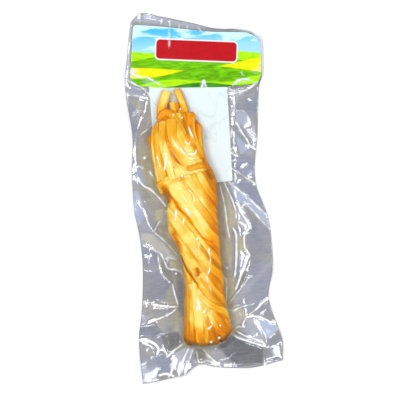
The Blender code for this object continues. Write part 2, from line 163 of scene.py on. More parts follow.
CUFF_STRANDS = [
    ([(-27.0, 16.6), (-20.0, 18.6), (-11.0, 20.6), (-6.0, 22.0)], 4.4, 2.2, 0.7, -0.02),
    ([(-36.0, 6.5), (-31.5, 9.2), (-25.0, 12.8), (-17.0, 15.6), (-9.0, 18.0), (-1.5, 19.2), (5.0, 17.0), (10.6, 9.0)], 4.0, 2.2, 0.5, 0.06),
    ([(-13.0, 20.6), (-6.5, 22.8), (0.4, 24.0), (5.6, 22.2), (9.4, 14.0), (11.2, 8.0)], 2.8, 2.2, 1.0, 1.15),
    ([(-35.0, 4.0), (-30.0, 6.4), (-24.0, 9.6), (-16.0, 12.4), (-8.0, 14.4), (-1.0, 15.0), (5.4, 12.4), (11.0, 5.0)], 3.4, 2.2, 0.2, 0.16),
]
# Loose ends above the sleeve: route (x, y, height over the bed), half width, half thickness, tone.
STICK_ENDS = [
    ([(-27.5, 54.0, 8.0), (-29.2, 62.0, 7.0), (-29.4, 69.0, 5.8), (-28.0, 75.0, 4.8), (-25.8, 80.5, 4.0), (-23.8, 85.2, 3.6)], 3.9, 2.9, -0.14),
    ([(-17.5, 54.0, 9.0), (-18.0, 63.0, 8.0), (-19.4, 70.0, 6.4), (-20.4, 76.0, 5.0)], 2.6, 2.2, 0.02),
    ([(-12.0, 54.0, 9.0), (-10.6, 63.0, 6.6), (-10.8, 70.0, 5.2), (-13.0, 77.5, 4.2), (-16.2, 86.0, 3.6)], 3.1, 2.7, 0.18),
    ([(-14.5, 54.0, 8.4), (-15.0, 62.0, 7.4), (-16.6, 69.0, 6.0), (-17.2, 74.5, 4.6)], 2.3, 2.0, 0.80),
    ([(-31.0, 62.5, 7.6), (-29.2, 66.2, 8.6), (-25.6, 67.6, 9.4), (-21.8, 65.6, 10.8), (-18.6, 61.6, 13.0), (-16.0, 57.0, 15.8), (-13.4, 51.6, 18.6), (-11.2, 46.5, 19.2)], 3.2, 2.4, 0.45),
]
# A gap between two strands, seen from above: middle, half width, half length, depth.
STRAND_GAP = (-7.9, -61.0, 2.5, 4.0, 2.8)
# Grooves pressed between plies, seen from above: route, half width, depth, tone added at the bottom as painted shade.
GROOVES = [
    ([(-25.0, 1.0), (-22.5, -5.0), (-20.0, -10.0), (-15.0, -14.0), (-10.5, -20.5), (-5.5, -29.0), (-1.0, -34.5), (5.0, -38.5), (11.0, -47.0)], 0.75, 0.9, 1.25),
    ([(-20.4, -45.0), (-19.2, -50.0), (-17.0, -56.5), (-13.4, -62.6), (-10.8, -66.2), (-8.5, -71.6), (-5.4, -78.6)], 0.9, 1.3, 2.3),
    ([(1.5, -91.5), (7.0, -95.6), (13.0, -99.8)], 1.1, 0.6, 0.6),
    ([(-15.4, -43.5), (-13.0, -46.0), (-10.4, -50.5)], 1.2, 0.9, 0.9),
    ([(-25.6, -27.0), (-22.6, -35.0), (-20.6, -46.0)], 2.5, 0.5, 1.9),
    ([(-33.8, 58.0), (-35.8, 46.0), (-35.9, 34.0), (-35.2, 22.0)], 1.0, 0.9, 0.9),
    ([(-26.6, 56.0), (-26.8, 47.0), (-24.8, 39.5), (-21.4, 31.5), (-17.8, 26.8), (-14.8, 24.0)], 0.8, 0.5, 2.3),
    ([(-4.4, 41.0), (-1.5, 35.0), (2.2, 27.0)], 1.1, 1.0, 1.8),
    ([(-5.6, 58.0), (-5.4, 50.0), (-3.0, 43.0)], 0.9, 0.6, 1.4),
    ([(-12.4, 64.0), (-10.6, 56.0), (-8.8, 48.0)], 1.3, 0.3, 1.2),
    ([(-28.0, 10.8), (-22.0, 12.0), (-15.0, 13.6), (-9.0, 14.2)], 1.4, 0.5, 0.8),
    ([(-26.0, 8.8), (-20.0, 8.4), (-14.0, 6.6), (-10.0, 2.6)], 1.0, 0.6, 0.5),
    ([(4.8, 20.5), (6.2, 16.5), (8.4, 12.0)], 2.0, 0.9, 2.8),
    # These two rows paint the shadow under the cuff's left end.
    ([(-34.0, 6.6), (-30.2, 6.8), (-28.4, 1.5), (-27.8, -6.0)], 3.6, 0.6, 2.3),
    ([(-36.0, 13.0), (-34.6, 9.4), (-31.4, 8.6)], 3.2, 0.1, 0.75),
    ([(-16.5, -99.0), (-16.2, -108.0), (-16.6, -117.0)], 1.0, 0.6, 0.9),
    ([(-11.8, -106.0), (-12.2, -112.0), (-12.4, -119.0)], 1.0, 0.7, 1.0),
    ([(-7.4, -107.0), (-8.0, -113.0), (-8.4, -120.0)], 0.9, 0.6, 0.9),
    ([(-1.0, -97.0), (-3.0, -104.0), (-4.4, -112.0), (-5.0, -120.0)], 1.2, 0.8, 1.0),
    ([(2.4, -108.5), (4.4, -113.0), (4.8, -119.0)], 1.1, 0.8, 2.1),
]

# Folds of the film: route (x, y), half width and height at its first and last point.
# A row that is high for its width carries a sharp line of painted glint, a low wide one a soft facet.
FOLDS = [
    # left of the hank
    ([(-57.0, 16.8), (-51.0, 14.5), (-47.0, 10.0), (-42.0, 7.0), (-38.0, 3.0), (-33.0, -3.0), (-29.5, -8.0)], 1.5, 1.3, 0.8, 0.9),
    ([(-57.0, 22.0), (-53.0, 24.5), (-50.0, 26.0), (-46.0, 23.5)], 2.2, 1.3, 1.0, 0.5),
    ([(-52.0, -5.0), (-49.5, -8.5), (-47.0, -14.0), (-44.5, -22.0), (-41.0, -28.0)], 0.8, 0.7, 0.9, 0.8),
    ([(-41.0, -28.0), (-37.0, -21.0), (-33.0, -17.0)], 0.7, 0.4, 0.5, 0.2),
    ([(-41.0, -28.0), (-35.0, -33.0), (-29.0, -39.5), (-22.5, -47.5)], 0.8, 0.6, 0.7, 0.5),
    ([(-51.0, -36.5), (-43.0, -41.0), (-37.0, -45.0), (-30.0, -49.0), (-24.0, -50.5)], 0.9, 0.6, 0.8, 0.6),
    ([(-49.5, -46.5), (-46.0, -47.5), (-46.5, -52.0)], 1.9, 1.0, 1.2, 0.6),
    ([(-37.0, -45.0), (-34.5, -49.5), (-33.0, -54.0), (-31.0, -57.8), (-25.0, -59.0), (-20.5, -61.0), (-18.0, -66.0), (-17.5, -71.0)], 1.1, 0.9, 0.8, 0.8),
    ([(-33.5, -49.0), (-31.0, -50.5), (-32.0, -53.5)], 1.6, 0.9, 1.0, 0.5),
    ([(-39.0, -45.0), (-38.5, -52.0), (-37.8, -59.0), (-35.0, -64.0), (-31.0, -68.5)], 0.7, 0.4, 0.7, 0.5),
    ([(-28.2, -70.5), (-27.2, -77.0), (-25.8, -83.0), (-24.5, -88.0)], 1.0, 1.1, 0.8, 0.9),
    ([(-46.0, -86.0), (-40.0, -87.2), (-32.0, -88.8), (-25.0, -88.8)], 1.9, 1.4, 0.7, 0.7),
    ([(-26.5, -90.5), (-31.0, -94.0), (-38.0, -97.0), (-46.0, -99.5), (-51.5, -102.0)], 0.8, 0.8, 1.0, 0.9),
    ([(-52.0, -84.5), (-48.5, -85.0)], 1.9, 1.1, 1.7, 1.0),
    ([(-30.0, -12.0), (-28.5, -20.0), (-28.8, -28.0), (-28.2, -33.0)], 0.7, 0.4, 0.9, 0.6),
    ([(-41.5, 22.0), (-40.0, 18.5), (-38.0, 15.5)], 1.5, 0.9, 0.8, 0.5),
    ([(-48.0, 51.0), (-42.0, 55.0), (-36.0, 59.5)], 0.7, 0.4, 0.8, 0.5),
    ([(-56.0, 84.0), (-48.0, 83.0), (-41.0, 80.5), (-36.5, 77.5), (-33.5, 71.5)], 0.9, 0.4, 0.7, 0.6),
    ([(-55.0, 96.0), (-49.0, 92.0), (-43.0, 88.5), (-38.5, 83.0), (-36.0, 78.0)], 1.1, 0.8, 0.8, 0.6),
    # lower left
    ([(-57.5, -114.5), (-51.5, -114.8), (-46.0, -117.5), (-42.5, -122.0), (-44.0, -127.0)], 2.6, 1.6, 2.2, 1.3),
    ([(-39.8, -119.0), (-37.4, -124.0), (-35.4, -128.5)], 1.0, 1.1, 0.9, 0.9),
    ([(-21.5, -118.0), (-26.0, -121.5), (-31.0, -125.0), (-36.0, -129.5)], 1.1, 1.0, 1.3, 0.9),
    ([(-17.5, -121.5), (-21.0, -128.0), (-24.5, -136.0), (-27.5, -145.0)], 1.0, 0.9, 1.8, 1.1),
    ([(-14.5, -122.5), (-17.0, -130.0), (-20.0, -138.0), (-22.5, -144.0)], 0.9, 0.7, 1.4, 0.9),
    ([(-30.0, -128.5), (-31.5, -135.0), (-33.0, -141.0), (-36.0, -146.0)], 1.8, 0.9, 1.6, 0.9),
    ([(-57.5, -134.5), (-53.0, -133.0)], 1.8, 0.9, 1.4, 0.7),
    ([(-44.0, -144.0), (-38.0, -142.6), (-33.0, -144.5)], 2.2, 1.1, 1.6, 0.8),
    # the bottom
    ([(-12.5, -122.5), (-11.5, -130.0), (-10.5, -136.0)], 0.8, 0.6, 0.8, 0.5),
    ([(-7.5, -123.5), (-2.0, -130.0), (3.0, -135.5), (8.0, -140.5)], 1.0, 0.8, 1.1, 0.9),
    ([(-5.5, -128.0), (0.0, -134.5), (4.0, -140.0)], 0.7, 0.6, 0.8, 0.7),
    ([(4.0, -122.0), (11.0, -118.6), (18.5, -115.2)], 0.5, 0.3, 0.6, 0.5),
    ([(42.0, -141.0), (45.0, -137.5), (49.0, -138.5)], 1.1, 0.6, 1.0, 0.5),
    # lower right
    ([(18.0, -112.5), (22.0, -116.5), (30.0, -120.2), (38.0, -123.2), (44.5, -125.6)], 1.2, 0.9, 0.9, 0.9),
    ([(20.5, -110.5), (28.0, -115.6), (36.0, -118.6), (41.0, -121.0), (44.5, -125.6)], 0.9, 0.8, 0.8, 0.8),
    ([(26.0, -108.5), (28.0, -103.5), (31.5, -100.6), (40.0, -100.8), (45.0, -103.0), (49.5, -105.6), (56.0, -105.6)], 1.2, 1.0, 1.2, 1.0),
    ([(20.0, -109.0), (23.5, -107.6), (26.5, -109.0)], 1.4, 0.8, 1.0, 0.6),
    ([(36.0, -103.0), (40.0, -108.0), (44.0, -115.0), (45.0, -121.0)], 1.2, 0.7, 1.0, 0.5),
    ([(50.5, -85.5), (44.5, -89.0), (38.5, -94.5), (31.0, -99.5)], 1.5, 1.2, 0.7, 0.7),
    ([(41.5, -98.6), (45.5, -95.8)], 1.5, 1.0, 1.3, 0.8),
    ([(15.0, -100.0), (17.0, -104.5), (19.0, -108.5)], 0.6, 0.4, 0.7, 0.5),
    ([(23.5, -95.5), (26.0, -99.0)], 0.8, 0.5, 0.7, 0.4),
    # right of the rope
    ([(18.0, 9.5), (21.0, 2.0), (24.0, -6.0), (26.0, -14.0), (26.2, -21.0)], 0.8, 0.8, 1.1, 1.0),
    ([(14.0, 8.5), (15.2, 2.0), (16.6, -5.0), (17.8, -14.0), (18.4, -24.0), (20.0, -36.0)], 0.8, 0.8, 1.0, 0.9),
    ([(22.8, -27.5), (25.2, -33.0), (25.0, -44.0), (24.2, -55.0), (23.2, -62.0), (22.2, -67.5)], 1.7, 1.1, 1.9, 1.1),
    ([(27.0, -7.0), (30.0, -15.0), (34.0, -22.0), (36.0, -29.0), (32.2, -34.0), (31.6, -40.0), (32.2, -46.0), (34.8, -51.0)], 0.9, 0.9, 1.0, 0.9),
    ([(34.8, -51.0), (31.2, -58.0), (27.6, -66.0), (24.2, -74.0), (22.0, -78.5)], 1.6, 1.2, 1.7, 1.1),
    ([(27.5, -51.0), (27.8, -60.0)], 1.3, 0.5, 1.0, 0.4),
    ([(12.0, -53.5), (14.0, -58.5)], 0.7, 0.5, 0.7, 0.5),
    ([(14.8, -59.0), (17.8, -60.2)], 1.3, 0.8, 1.1, 0.6),
    ([(12.6, -65.0), (15.0, -69.5), (15.0, -76.0), (14.4, -84.0), (13.6, -90.0), (16.0, -93.6), (20.0, -94.2), (26.0, -92.2), (36.0, -90.4)], 0.8, 1.0, 0.8, 0.5),
    ([(36.0, -67.0), (26.0, -78.0), (14.5, -90.0)], 0.8, 0.4, 0.8, 0.5),
    ([(19.8, -92.4), (21.0, -90.8), (25.5, -90.6)], 0.8, 0.6, 0.8, 0.4),
    ([(21.0, 10.5), (25.0, 6.5), (31.0, 1.0), (38.0, -5.5), (45.0, -13.0), (53.0, -21.0)], 1.6, 0.5, 1.6, 0.6),
    ([(33.0, -7.0), (40.0, -15.0), (47.0, -24.0), (53.5, -31.0)], 1.2, 0.45, 1.2, 0.6),
    ([(31.0, -11.5), (34.5, -9.0), (38.0, -9.5)], 1.2, 0.8, 1.0, 0.5),
    ([(28.0, -23.0), (32.5, -26.5), (33.0, -31.0)], 1.5, 0.9, 1.2, 0.7),
    ([(31.0, -33.5), (35.0, -33.0)], 1.6, 1.0, 1.2, 0.8),
    ([(22.0, 22.0), (30.0, 16.5), (36.0, 12.0), (44.0, 6.0)], 0.9, 0.5, 0.9, 0.6),
    ([(33.2, 20.0), (37.0, 24.0)], 1.6, 1.0, 1.2, 0.8),
    ([(24.0, 27.0), (26.5, 26.0), (28.8, 27.4)], 1.0, 0.7, 0.9, 0.6),
    ([(25.0, 35.0), (27.5, 38.0), (28.5, 33.0), (30.2, 29.8), (26.5, 31.6), (25.0, 34.0)], 0.9, 0.7, 0.9, 0.7),
    ([(25.0, 84.5), (29.5, 79.0), (29.8, 71.0), (27.8, 63.0), (27.0, 55.0)], 1.1, 0.45, 1.0, 0.3),
    ([(27.8, 62.0), (31.5, 55.5), (34.5, 49.0), (38.2, 43.0), (41.0, 37.5), (47.5, 32.5)], 0.9, 0.7, 1.4, 0.9),
    ([(26.6, 53.5), (26.3, 48.5), (25.8, 44.5)], 1.9, 0.7, 1.3, 0.5),
    ([(24.5, 80.0), (34.0, 81.5), (42.0, 84.0), (50.0, 89.0)], 1.1, 0.7, 1.3, 0.7),
    ([(25.0, 86.0), (29.0, 83.0), (37.0, 80.5)], 0.9, 0.6, 0.9, 0.4),
    ([(30.0, 66.0), (36.0, 66.5), (40.0, 62.0), (42.0, 55.0), (37.0, 52.5)], 0.7, 0.3, 0.7, 0.3),
    # over the label
    ([(8.5, 84.0), (12.0, 76.0), (17.0, 69.0)], 1.2, 0.25, 1.0, 0.2),
    ([(20.5, 70.0), (17.5, 62.0), (16.5, 53.0)], 1.3, 0.35, 1.2, 0.25),
    ([(15.0, 60.0), (13.2, 53.0), (13.6, 43.0)], 1.2, 0.3, 1.2, 0.3),
    ([(6.0, 50.0), (9.0, 45.0), (13.0, 42.0)], 0.9, 0.25, 0.9, 0.25),
    # over the sleeve
    ([(-28.2, 36.0), (-27.6, 28.5), (-29.6, 20.5)], 2.1, 1.0, 1.7, 0.9),
    ([(-34.6, 34.0), (-33.6, 28.5), (-32.2, 23.0)], 1.2, 0.8, 1.2, 0.8),
    ([(-26.0, 31.0), (-24.6, 26.0), (-23.2, 20.8), (-22.0, 23.4)], 0.9, 0.5, 0.9, 0.5),
    ([(-22.4, 48.0), (-19.4, 42.0), (-16.2, 37.5), (-12.6, 33.0), (-8.6, 30.0), (-4.6, 29.2)], 0.8, 0.6, 1.1, 0.85),
    ([(-15.4, 39.0), (-13.6, 34.8), (-8.6, 33.0), (-4.2, 33.2), (-3.0, 36.4)], 1.4, 1.1, 1.3, 1.0),
    ([(-12.6, 38.6), (-10.0, 36.4), (-7.6, 36.0)], 1.2, 1.0, 1.0, 0.8),
    ([(-12.0, 44.0), (-9.4, 40.6), (-7.2, 43.2)], 1.1, 0.95, 1.0, 0.8),
    ([(-8.2, 55.0), (-6.6, 50.0), (-4.4, 44.4)], 1.7, 1.1, 1.2, 0.8),
    # over the rope
    ([(-14.6, -8.8), (-12.4, -12.6), (-10.4, -16.2)], 2.2, 1.0, 1.9, 1.0),
    ([(-21.6, -10.2), (-22.2, -15.0), (-23.0, -19.8)], 1.9, 1.0, 1.7, 1.0),
    ([(-15.6, -17.0), (-16.8, -22.0), (-18.2, -25.0)], 0.9, 0.7, 0.8, 0.5),
    ([(-16.0, 1.0), (-13.0, -5.0), (-10.0, -9.5)], 0.9, 0.85, 0.9, 0.8),
    ([(-23.0, 6.4), (-19.0, 8.0), (-15.0, 7.6), (-10.6, 4.2), (-7.4, 0.5), (-7.2, -4.0), (-9.6, -9.0)], 0.8, 0.45, 0.8, 0.6),
    ([(-8.6, -8.0), (-6.6, -13.0), (-4.6, -18.0)], 0.8, 0.5, 0.8, 0.5),
    ([(-4.6, -37.5), (-5.6, -43.0), (-5.6, -47.5)], 0.9, 0.7, 0.9, 0.6),
    ([(3.0, -42.0), (2.4, -46.0), (3.6, -50.0), (2.6, -55.0), (2.0, -60.0), (0.2, -63.5)], 1.0, 0.85, 0.9, 0.7),
    ([(0.0, -64.0), (0.4, -69.0), (3.0, -77.5)], 0.8, 0.6, 0.8, 0.5),
    ([(-8.0, -81.0), (-8.8, -86.5), (-9.2, -92.0)], 1.8, 1.0, 1.9, 0.9),
    ([(-7.6, -84.0), (-7.4, -88.0), (-7.4, -91.5)], 1.2, 0.9, 1.2, 0.9),
    ([(-4.6, -93.6), (-2.6, -91.0)], 1.9, 1.1, 1.7, 1.0),
    ([(1.2, -94.0), (4.2, -91.4)], 0.8, 0.35, 0.7, 0.3),
    ([(0.4, -100.0), (2.0, -103.6), (-2.6, -107.0)], 0.9, 0.7, 0.9, 0.6),
    # over the card
    ([(-42.4, 149.5), (-42.8, 141.5)], 1.0, 0.8, 0.7, 0.5),
    ([(-24.6, 143.5), (-26.4, 139.0)], 0.8, 0.4, 0.7, 0.3),
    ([(-18.4, 142.5), (-19.2, 133.0), (-20.4, 120.0)], 0.9, 0.4, 1.0, 0.35),
    ([(-11.0, 139.5), (-12.0, 131.5)], 0.8, 0.35, 0.7, 0.3),
    ([(-4.8, 138.0), (-5.2, 131.0)], 0.8, 0.35, 0.7, 0.3),
    ([(3.6, 135.5), (8.0, 131.0), (13.5, 129.0)], 1.0, 0.4, 0.8, 0.3),
    ([(-53.0, 103.0), (-48.0, 99.0), (-40.0, 97.5), (-32.0, 93.0), (-27.0, 89.0)], 1.2, 0.7, 1.1, 0.5),
    ([(-51.0, 101.0), (-49.0, 105.0), (-46.0, 102.0)], 1.0, 0.5, 0.9, 0.4),
    ([(4.0, 86.5), (6.2, 92.5), (7.8, 87.0)], 1.6, 0.6, 1.4, 0.5),
    ([(29.0, 86.5), (34.0, 91.0), (42.0, 91.5), (47.0, 88.0)], 1.7, 0.6, 1.5, 0.5),
    ([(36.5, 97.5), (38.6, 94.0)], 1.2, 0.5, 1.0, 0.4),
]
# Little dimples, each with a painted glint: x, y, radius.
DIMPLES = [
    (-45.0, 32.5, 1.5), (-25.0, -62.0, 1.0), (-30.8, -68.8, 0.9), (-51.5, -122.3, 1.0), (-48.6, -129.0, 0.8),
    (-40.0, -123.0, 1.4), (-24.6, -117.0, 1.1), (27.6, -108.0, 1.0), (37.5, -115.0, 1.1), (3.6, -124.0, 1.0),
    (42.4, 74.8, 1.1), (39.6, 12.4, 1.2), (39.0, 37.0, 1.2), (28.0, 27.2, 1.0), (-19.8, 65.4, 0.9),
    (-14.0, 70.0, 0.8), (-15.2, 16.0, 0.8), (-6.2, -34.5, 0.9), (0.2, -117.4, 1.5), (6.9, -114.4, 1.5),
    (8.2, -104.5, 0.8), (-1.0, -106.4, 0.8), (-30.0, -11.5, 1.1), (-28.3, -32.0, 1.0), (31.0, 56.0, 1.0),
    (34.0, 50.5, 0.9), (38.3, 43.0, 0.9), (-45.0, -41.5, 0.9), (-13.0, 62.6, 0.9),
]

# Facets of the film with painted light and shade: outline (x, y), lightness (-1 painted shade to 1 painted glare),
# warmth (-1 bluish to 1 olive).
FACETS = [
    # round the card
    ([(-59.0, 93.0), (-54.5, 93.0), (-52.0, 118.0), (-49.5, 141.0), (-54.0, 139.0), (-58.0, 116.0)], 0.50, -0.2),
    ([(-49.0, 143.5), (-42.5, 150.0), (-42.0, 143.0)], 0.40, -0.2),
    ([(-41.0, 149.0), (-26.0, 146.0), (0.0, 139.0), (20.0, 134.5), (-2.0, 135.5), (-28.0, 140.0), (-41.0, 142.5)], 0.26, -0.45),
    ([(53.2, 92.0), (58.0, 96.0), (58.0, 126.0), (47.0, 133.5), (30.0, 134.0), (47.0, 129.5), (53.4, 122.0)], 1.05, -0.1),
    ([(-52.5, 106.0), (-48.5, 103.5), (-46.0, 98.5), (-50.5, 96.5), (-53.0, 99.0)], 0.42, -0.6),
    ([(-46.0, 98.0), (-38.0, 97.0), (-33.0, 92.5), (-38.0, 90.5), (-43.0, 93.5)], 0.26, -0.6),
    ([(2.8, 86.5), (5.6, 92.5), (8.8, 87.0)], 0.70, 0.0),
    ([(30.0, 87.5), (35.0, 92.5), (43.0, 93.0), (40.0, 88.5), (36.0, 90.0)], 0.40, -0.2),
    ([(45.0, 97.5), (49.5, 100.5), (52.5, 104.5), (53.0, 98.5), (48.0, 95.0)], 0.34, -0.2),
    # left of the hank
    ([(-57.5, 94.0), (-50.0, 91.0), (-42.0, 84.5), (-37.5, 77.5), (-44.0, 81.0), (-51.0, 84.0), (-57.0, 85.0)], 0.22, -0.3),
    ([(-55.0, 80.0), (-47.0, 78.0), (-40.0, 70.0), (-38.0, 58.0), (-48.0, 52.0), (-49.0, 66.0)], 0.02, 0.35),
    ([(-57.0, 80.0), (-50.0, 74.0), (-49.0, 50.0), (-51.0, 30.0), (-57.0, 24.0)], -0.06, -0.4),
    ([(-49.0, 52.0), (-41.0, 55.0), (-40.0, 40.0), (-41.0, 26.0), (-48.0, 28.0)], 0.0, 0.45),
    ([(-57.5, 24.0), (-49.0, 25.5), (-45.0, 12.0), (-51.0, 10.0), (-57.5, 15.0)], 0.16, -0.8),
    ([(-57.0, 5.5), (-52.0, 6.5), (-49.5, -3.0), (-47.5, -12.0), (-50.0, -22.0), (-56.0, -21.0)], 0.34, -0.9),
    ([(-51.0, 12.0), (-44.0, 6.0), (-37.0, 0.0), (-32.0, -7.0), (-38.0, -12.0), (-45.0, -8.0), (-49.0, 0.0)], -0.13, 0.2),
    ([(-38.5, -10.0), (-31.0, -9.0), (-29.0, -20.0), (-33.0, -23.5), (-39.0, -17.0)], 0.10, 0.75),
    ([(-52.0, -24.0), (-45.0, -27.0), (-41.5, -28.5), (-46.0, -20.0), (-50.0, -15.0)], 0.12, -0.1),
    ([(-51.5, -28.0), (-42.0, -29.0), (-33.0, -38.0), (-23.5, -50.0), (-30.0, -48.5), (-38.0, -43.5), (-46.0, -37.0), (-52.0, -34.0)], 0.30, 0.45),
    ([(-52.0, -37.5), (-44.0, -41.0), (-38.5, -46.0), (-40.0, -54.0), (-47.0, -56.0), (-52.0, -52.0)], -0.06, -0.5),
    ([(-37.5, -50.0), (-32.0, -58.0), (-22.0, -60.0), (-20.0, -68.0), (-30.0, -70.0), (-37.0, -62.0)], -0.20, 0.30),
    ([(-31.0, -51.0), (-22.0, -50.5), (-20.0, -58.0), (-30.0, -57.0)], 0.06, 0.75),
    ([(-52.0, -58.0), (-40.0, -60.0), (-33.0, -68.0), (-29.0, -78.0), (-40.0, -84.0), (-53.0, -80.0)], -0.12, -0.35),
    ([(-34.0, -76.0), (-28.0, -72.0), (-26.0, -87.0), (-34.0, -87.0)], 0.02, 0.5),
    ([(-26.0, -70.0), (-20.0, -66.0), (-20.0, -100.0), (-25.0, -92.0)], -0.18, 0.0),
    ([(-52.0, -90.0), (-30.0, -90.5), (-38.0, -96.0), (-52.0, -101.0)], -0.04, -0.2),
    ([(-31.0, -110.0), (-22.0, -98.0), (-20.5, -103.0), (-25.0, -112.0)], 0.12, 0.55),
    ([(-57.0, -103.0), (-44.0, -101.0), (-38.0, -110.0), (-44.0, -113.0), (-58.0, -112.0)], -0.26, -0.7),
    ([(-39.0, -112.0), (-26.0, -109.0), (-23.0, -118.0), (-35.0, -127.5)], -0.40, 0.35),
    ([(-57.5, -128.0), (-44.0, -126.0), (-34.0, -130.0), (-31.0, -138.0), (-36.0, -143.0), (-57.0, -147.0)], 0.02, -0.60),
    ([(-33.0, -128.5), (-22.0, -123.0), (-15.0, -124.0), (-21.0, -138.0), (-26.0, -144.5), (-30.0, -139.0)], 0.43, -0.25),
    ([(-15.0, -124.0), (-12.0, -124.0), (-12.0, -136.0), (-20.0, -142.0), (-19.0, -134.0)], 0.02, -0.2),
    # the bottom
    ([(-14.0, -123.5), (-7.0, -124.0), (-3.0, -131.0), (-9.0, -136.5), (-12.5, -135.0)], -0.48, 0.3),
    ([(-5.0, -123.0), (4.0, -122.5), (9.5, -128.0), (14.0, -138.0), (9.0, -139.0), (1.0, -131.0)], 0.12, -0.1),
    ([(5.5, -122.5), (17.0, -115.0), (30.0, -121.0), (42.0, -126.0), (41.0, -139.0), (20.0, -140.0), (13.0, -133.0)], -0.50, -0.12),
    ([(42.5, -126.5), (56.0, -122.0), (57.0, -136.5), (43.0, -138.5)], -0.12, -0.1),
    # lower right
    ([(27.5, -102.5), (33.0, -101.5), (39.0, -109.0), (44.0, -118.0), (43.0, -122.5), (34.0, -118.0), (25.0, -110.5)], 0.26, -0.1),
    ([(34.0, -102.0), (44.0, -103.5), (53.0, -108.0), (55.0, -112.0), (45.5, -119.0), (43.0, -116.0), (39.5, -108.5)], 0.60, -0.85),
    ([(20.0, -114.5), (30.0, -117.5), (42.0, -122.5), (43.5, -125.0), (32.0, -121.0), (21.0, -117.0)], 0.36, -0.1),
    ([(46.0, -119.0), (55.0, -112.5), (57.5, -124.0), (47.0, -126.0)], -0.08, -0.3),
    ([(50.0, -88.5), (51.5, -101.5), (41.0, -99.5), (35.0, -97.5), (44.0, -90.5)], 0.0, -0.4),
    ([(25.0, -76.0), (38.0, -60.0), (52.0, -58.0), (50.0, -84.0), (42.0, -90.0), (30.0, -96.0), (22.0, -86.0)], 0.04, -0.3),
    ([(20.0, -85.5), (36.0, -70.0), (52.0, -56.0), (52.0, -60.0), (38.0, -74.0), (23.0, -88.0)], 0.14, 0.0),
    ([(14.0, -68.0), (22.0, -68.0), (23.0, -76.5), (15.0, -90.0)], 0.02, 1.0),
    ([(24.0, -77.0), (31.0, -64.0), (34.0, -66.0), (27.0, -77.0), (17.0, -88.5)], -0.30, 0.6),
    ([(15.5, -93.0), (26.0, -93.0), (30.0, -99.0), (20.5, -108.0), (16.5, -101.0)], 0.16, 0.6),
    # right of the rope
    ([(12.5, 8.5), (18.0, 8.0), (19.5, -30.0), (20.5, -60.0), (14.0, -62.0), (12.5, -30.0)], 0.06, 1.0),
    ([(18.5, 6.0), (24.5, -8.0), (26.0, -24.0), (22.5, -28.0), (20.0, -34.0)], 0.10, 0.9),
    ([(26.5, -34.0), (31.0, -36.0), (33.5, -49.0), (26.0, -50.0)], 0.06, 0.7),
    ([(27.0, -51.5), (34.0, -51.5), (27.5, -63.0)], 0.34, -0.4),
    ([(21.5, 9.5), (31.0, 2.0), (45.0, -12.0), (53.0, -21.5), (53.5, -29.5), (47.0, -22.5), (36.0, -12.0), (27.0, -6.0)], 0.42, -0.75),
    ([(26.0, 10.0), (43.0, 6.0), (45.5, -2.0), (51.5, -18.0), (42.0, -9.0), (32.0, 1.0)], -0.10, -0.6),
    ([(34.0, -22.0), (47.0, -24.0), (53.0, -32.0), (53.0, -52.0), (36.0, -48.0)], -0.04, -0.35),
    ([(27.0, -8.0), (33.0, -12.0), (37.5, -27.0), (33.0, -33.0), (28.0, -24.0)], 0.40, -0.3),
    ([(25.0, 22.0), (36.0, 14.0), (43.0, 9.0), (44.0, 26.0), (38.0, 31.0), (26.0, 30.0)], -0.02, -0.55),
    ([(29.5, 47.0), (36.0, 40.5), (40.5, 36.0), (33.0, 31.0), (30.5, 38.0)], 0.40, -0.75),
    ([(30.0, 66.0), (36.0, 66.5), (41.0, 62.0), (42.5, 55.0), (37.0, 53.0), (30.5, 57.0)], 0.32, -0.25),
    ([(42.5, 64.0), (48.0, 62.0), (46.5, 42.0), (42.0, 42.0), (43.0, 54.0)], 0.0, 0.3),
    ([(36.0, 74.0), (48.5, 78.0), (48.0, 64.0), (38.0, 67.0)], -0.08, -0.4),
    ([(25.0, 84.0), (29.0, 80.0), (30.0, 70.0), (27.0, 58.0), (28.0, 70.0)], 0.34, -0.2),
    ([(26.0, 84.5), (42.0, 83.5), (50.0, 88.0), (36.0, 79.5), (29.0, 78.0)], 0.20, 0.2),
]


class HankSettings(PropertyGroup):
    fullness: FloatProperty(name="Fullness", description="Width of every strand against its design width",
                            default=1.22, min=0.7, max=1.4)
    ring_points: IntProperty(name="Ring points", description="Points round one strand", default=16, min=8)
    step: FloatProperty(name="Step", description="Length of one facet along a strand",
                        default=1.3 * MM, unit="LENGTH")
    core_inset: FloatProperty(name="Core inset", description="How far the core lies under the plain hank",
                              default=2.4 * MM, unit="LENGTH")
    pale: FloatVectorProperty(name="Pale", description="Colour of a strand's crown", subtype="COLOR",
                              default=(0.99, 0.725, 0.185))
    golden: FloatVectorProperty(name="Golden", description="Middle colour of the smoked rind",
                                subtype="COLOR", default=(0.94, 0.50, 0.030))
    orange: FloatVectorProperty(name="Orange", description="Colour of the darker strands",
                                subtype="COLOR", default=(0.90, 0.335, 0.008))
    amber: FloatVectorProperty(name="Amber", description="Deep colour in seams and at the cut end",
                               subtype="COLOR", default=(0.68, 0.205, 0.002))
    # Painted shade: brown for the shaded rim of the cut end, the deepest part of the gap and the deepest grooves.
    shade_brown: FloatVectorProperty(name="Shade brown", description="Brown of the cut end's rim and of deep gaps",
                               subtype="COLOR", default=(0.20, 0.085, 0.008))


